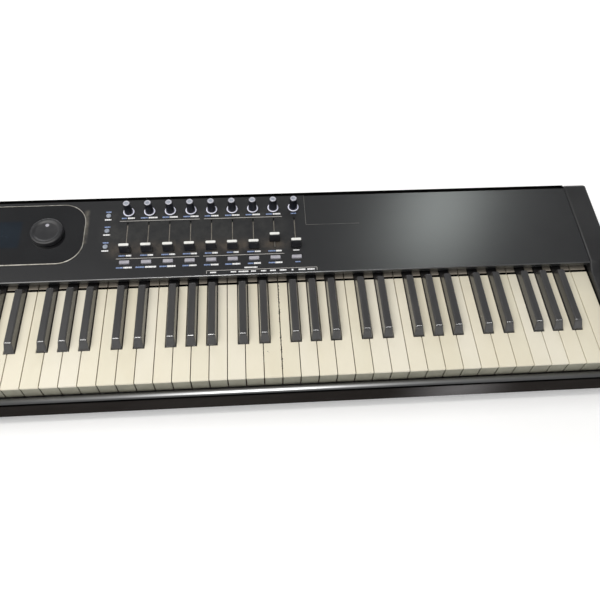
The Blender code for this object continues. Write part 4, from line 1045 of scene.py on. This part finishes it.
def make_print():
    """Fine rules and caption strokes, printed in white, grey and blue."""
    white, blue, lines = (bmesh.new() for _ in range(3))
    for y in RULE_ROWS:
        for x in RULE_SPANS:
            box(lines, x, span(y, RULE_WIDTH / 2), INK_DEPTH)
    for number, (y, height, blue_share, widths) in enumerate(CAPTION_ROWS):
        for column, total in enumerate(widths):
            x = column_x(column)
            seed = 100 * number + column
            blue_width = (total - 0.8) * blue_share
            white_width = (total - 0.8) * (1 - blue_share)
            dashes(blue, x - total / 2 + blue_width / 2, y, blue_width, height - 0.3, seed)
            dashes(white, x + total / 2 - white_width / 2, y, white_width, height + 0.3, 500 + seed)
    last = column_x(COLUMNS - 1)
    dashes(blue, last, KNOB_CAPTIONS, 8.5, 2.0, 31)
    dashes(white, last, FADER_CAPTIONS, 9.0, 2.0, 32)
    dashes(blue, last + 1, SELECT_CAPTIONS, 7.0, 2.0, 33)
    for number, y in enumerate(PAGE_ROWS):
        dashes(blue, PAGE_X, y + 7.0, 8.0, 2.2, 41 + number)
        dashes(white, PAGE_X, y - 7.0, 9.5, 2.4, 51 + number)
    box(lines, BRACKET, (8.3, 8.9), INK_DEPTH)
    for x in BRACKET:
        box(lines, span(x, 0.3), (3.6, 8.3), INK_DEPTH)
    for number, (x, width) in enumerate(BRACKET_CAPTIONS):
        dashes(white, x, 5.4, width, 2.5, 61 + number)
    dashes(white, 128.0, 11.8, 18.0, 2.1, 81)
    commands = [(x, y) for y in COMMAND_ROWS for x in COMMAND_COLUMNS]
    for number, (x, y) in enumerate(commands):
        dashes(white, x, y - 8.0, 10.0, 1.8, 91 + number)
    for name, bm, material in (
        ("print_white", white, "ink_white"),
        ("print_blue", blue, "ink_blue"),
        ("print_rules", lines, "ink_line"),
    ):
        build(bm, name, material, "chassis", matrix=PANEL)


# ---- case


def make_panel():
    """The painted sheet, with a soft bend along its front edge, the lines that show on it, and
    painted shade along its rear edge.
    """
    sheet = build(copy_of("top_panel"), "panel_sheet", "panel", "chassis",
                  "top_panel", rounding=(0.3, 2, 35))
    flatten(sheet)
    GLOSSED.objects.link(sheet)
    # A worn line runs along the front bend, and a pale line round the two shown edges of the
    # shallow shelf
    front = box_mm("top_panel")[0].y
    bend = [(front - 0.02, 91.55), (front + 0.05, 91.95), (front + 0.4, 92.35)]
    bend += [(front + 0.98, 92.62), (front + 1.5, 92.66), (front + 1.5, 92.5)]
    bend += [(front + 1.0, 92.4), (front + 0.2, 91.6)]
    bm = bmesh.new()
    prism(bm, bend, PANEL_SPAN)
    POLISHED.objects.link(build(bm, "worn_bend", "bend", "chassis", matrix=ALONG_X))
    bm = bmesh.new()
    seam_x = (SHELF_LEFT - 0.45, SHELF_LEFT + 0.02)
    box(bm, seam_x, (SHELF_FRONT - 0.45, PANEL_LENGTH - 0.4), SEAM_DEPTH)
    seam_y = (SHELF_FRONT - 0.45, SHELF_FRONT + 0.02)
    box(bm, (SHELF_LEFT - 0.45, SHELF_LEFT + SHELF_LINE), seam_y, SEAM_DEPTH)
    build(bm, "shelf_edges", "seam", "chassis", matrix=PANEL)
    # Dark strips along the panel's rear edge and the rear plate's top are painted shade
    bm = bmesh.new()
    box(bm, PANEL_SPAN, (PANEL_LENGTH - 2.6, PANEL_LENGTH + 0.02), (-0.3, 0.12))
    build(bm, "rear_edge_painted_shade", "dark", "chassis", matrix=PANEL)
    low, high = box_mm("rear_panel")
    bm = bmesh.new()
    box(bm, PANEL_SPAN, (low.y - 0.3, high.y - 0.1), (high.z - 0.2, high.z + 0.12))
    build(bm, "rear_top_painted_shade", "dark", "chassis")


def make_rail():
    """The front trim: a bright strip along the top of a dark moulding, and the joint between."""
    low, high = box_mm("front_rail")
    top = high.z
    face = low.y
    strip = [(RAIL_BACK, top - 2.4), (RAIL_BACK, top - 0.2), (RAIL_BACK - 0.4, top)]
    strip += [(face + 6.4, top), (face + 4.9, top - 0.09), (face + 3.5, top - 0.33)]
    strip += [(face + 2.3, top - 0.74), (face + 1.5, top - 1.2), (face + 3.6, top - 2.4)]
    body = [(face + 0.2, top - 3.7), (face + 0.2, 23.5), (face + 0.9, 21.0), (face + 2.4, 19.3)]
    body += [(high.y, low.z), (high.y, low.z + 2.5), (face + 3.4, 21.6), (face + 2.7, 24.0)]
    body += [(face + 2.7, top - 5.5), (RAIL_BACK - 0.2, top - 5.5), (RAIL_BACK - 0.2, top - 2.5)]
    body += [(face + 3.6, top - 2.5), (face + 3.2, top - 3.7)]
    joint = [(face + 1.5, top - 1.25), (face + 0.9, top - 1.8), (face + 0.4, top - 2.7)]
    joint += [(face + 0.2, top - 3.65), (face + 3.2, top - 3.65), (face + 3.6, top - 2.45)]
    rail = {}
    for name, outline, material in (
        ("rail_trim", strip, "trim"),
        ("rail_body", body, "rail"),
        ("rail_joint", joint, "dark"),
    ):
        bm = bmesh.new()
        prism(bm, outline, (low.x, high.x))
        rail[name] = build(bm, name, material, "chassis", "front_rail", ALONG_X)
    flatten(rail["rail_trim"], 5000.0)
    flatten(rail["rail_body"])
    FRONTED.objects.link(rail["rail_body"])
    POLISHED.objects.link(rail["rail_trim"])
    SHADED.objects.link(rail["rail_trim"])
    SHADED.collection_objects[0].light_linking.link_state = "EXCLUDE"


def make_case():
    """The end cheeks, floor pan, rear plate and feet, with soft edges, and the screws below."""
    for node, material, slot, width, least in (
        ("left_end_cap", "cheek", "end_cap_plastic", 1.0, 3000.0),
        ("right_end_cap", "cheek", "end_cap_plastic", 1.0, 3000.0),
        ("bottom_tray", "case", "case_paint", 0.4, 20.0),
        ("rear_panel", "case", "case_paint", 0.35, 200.0),
        ("left_foot", "rubber", "foot_rubber", 1.2, 500.0),
        ("right_foot", "rubber", "foot_rubber", 1.2, 500.0),
    ):
        shell = build(copy_of(node), node + "_shell", material, "chassis", node,
                      rounding=(width, 3))
        flatten(shell, least)
    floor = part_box("bottom_tray")[0].z
    under = Matrix(((1, 0, 0, 0), (0, -1, 0, 0), (0, 0, -1, floor), (0, 0, 0, 1)))
    places = [(x, -y) for x in (-590, -430, -215, 0, 215, 430, 590) for y in (-118, 20, 138)]
    add_screws("tray_screw", places, TRAY_SCREW, under)


def make_sockets():
    """What shows in the rear openings: metal rims, pin holes painted as dark discs of shade, and
    shells; and the rear plate's screws and print. Seen from behind, x runs the other way."""
    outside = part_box("rear_panel")[1].y
    rear = Matrix(((-1, 0, 0, 0), (0, 0, 1, outside), (0, 1, 0, 0), (0, 0, 0, 1)))
    metal, inserts, holes, captions = (bmesh.new() for _ in range(4))
    for x in JACK_XS:
        tube(metal, 5.5, 3.35, (-1.6, 0.22), 48, (-x, SOCKET_Z), 0.3)
    tube(metal, 5.4, 3.3, (-1.6, 0.1), 48, (-DC_X, SOCKET_Z), 0.3)
    pin = [(0.0, -1.2), (0.6, -1.25), (1.05, -1.7), (1.05, -8.0), (0.0, -8.0)]
    lathe(metal, pin, 24, (-DC_X, SOCKET_Z))
    for x in DIN_XS:
        tube(metal, 6.55, 6.1, (-2.4, -0.7), 64, (-x, SOCKET_Z), 0.1)
        insert = [(0.0, -1.7), (5.6, -1.7), (5.9, -2.0), (5.9, -2.5), (0.0, -2.5)]
        lathe(inserts, insert, 48, (-x, SOCKET_Z))
        for step in range(5):
            angle = math.radians(45 * step)
            spot = (-x + 3.75 * math.cos(angle), SOCKET_Z - 3.75 * math.sin(angle))
            lathe(holes, [(0.0, -1.66), (0.75, -1.66), (0.75, -1.9), (0.0, -1.9)], 20, spot)
        box(holes, span(-x, 1.0), (SOCKET_Z + 4.5, SOCKET_Z + 6.0), (-1.9, -1.64))
    for side in (-1, 1):
        shell_z = (-9.0, -0.4)
        box(metal, span(-USB_X + side * 3.95, 0.2), span(SOCKET_Z, 3.8), shell_z)
        box(metal, span(-USB_X, 3.75), span(SOCKET_Z + side * 3.65, 0.2), shell_z)
    build(metal, "socket_metal", "nickel", "chassis", matrix=rear)
    build(inserts, "socket_inserts", "insert", "chassis", matrix=rear)
    # The pin holes are dark discs: painted shade
    build(holes, "socket_pin_hole_painted_shade", "dark", "chassis", matrix=rear)
    places = [(-x, z) for x in (-595, -400, -200, 0, 200, 310, 595) for z in (20, 88)]
    add_screws("rear_screw", places, REAR_SCREW, rear)
    for number, x in enumerate((*JACK_XS, *DIN_XS, USB_X, SWITCH_X, DC_X)):
        dashes(captions, -x, SOCKET_Z + 15.5, 11.0, 1.8, 121 + number)
    build(captions, "rear_print", "ink_white", "chassis", matrix=rear)


def make_rocker():
    """The power switch's rocker, with soft edges."""
    rocker = build(copy_of("power_switch"), "rocker_cap", "insert", "power_switch",
                   "power_switch", rounding=(0.3, 2))
    flatten(rocker)


def make_cad_looks():
    for node, look in INSIDE_LOOKS.items():
        materials = NODES[node].data.materials
        materials.clear()
        materials.append(MATERIALS[look])


make_camera()
make_studio()
make_keys()
make_grime()
make_knobs()
make_light_rings()
make_faders()
make_slot_shields()
make_buttons()
make_pads()
make_window()
make_wheels()
make_print()
make_panel()
make_rail()
make_case()
make_sockets()
make_rocker()
make_cad_looks()
for haze in DUST:
    add_dust(MATERIALS["panel"], *haze)
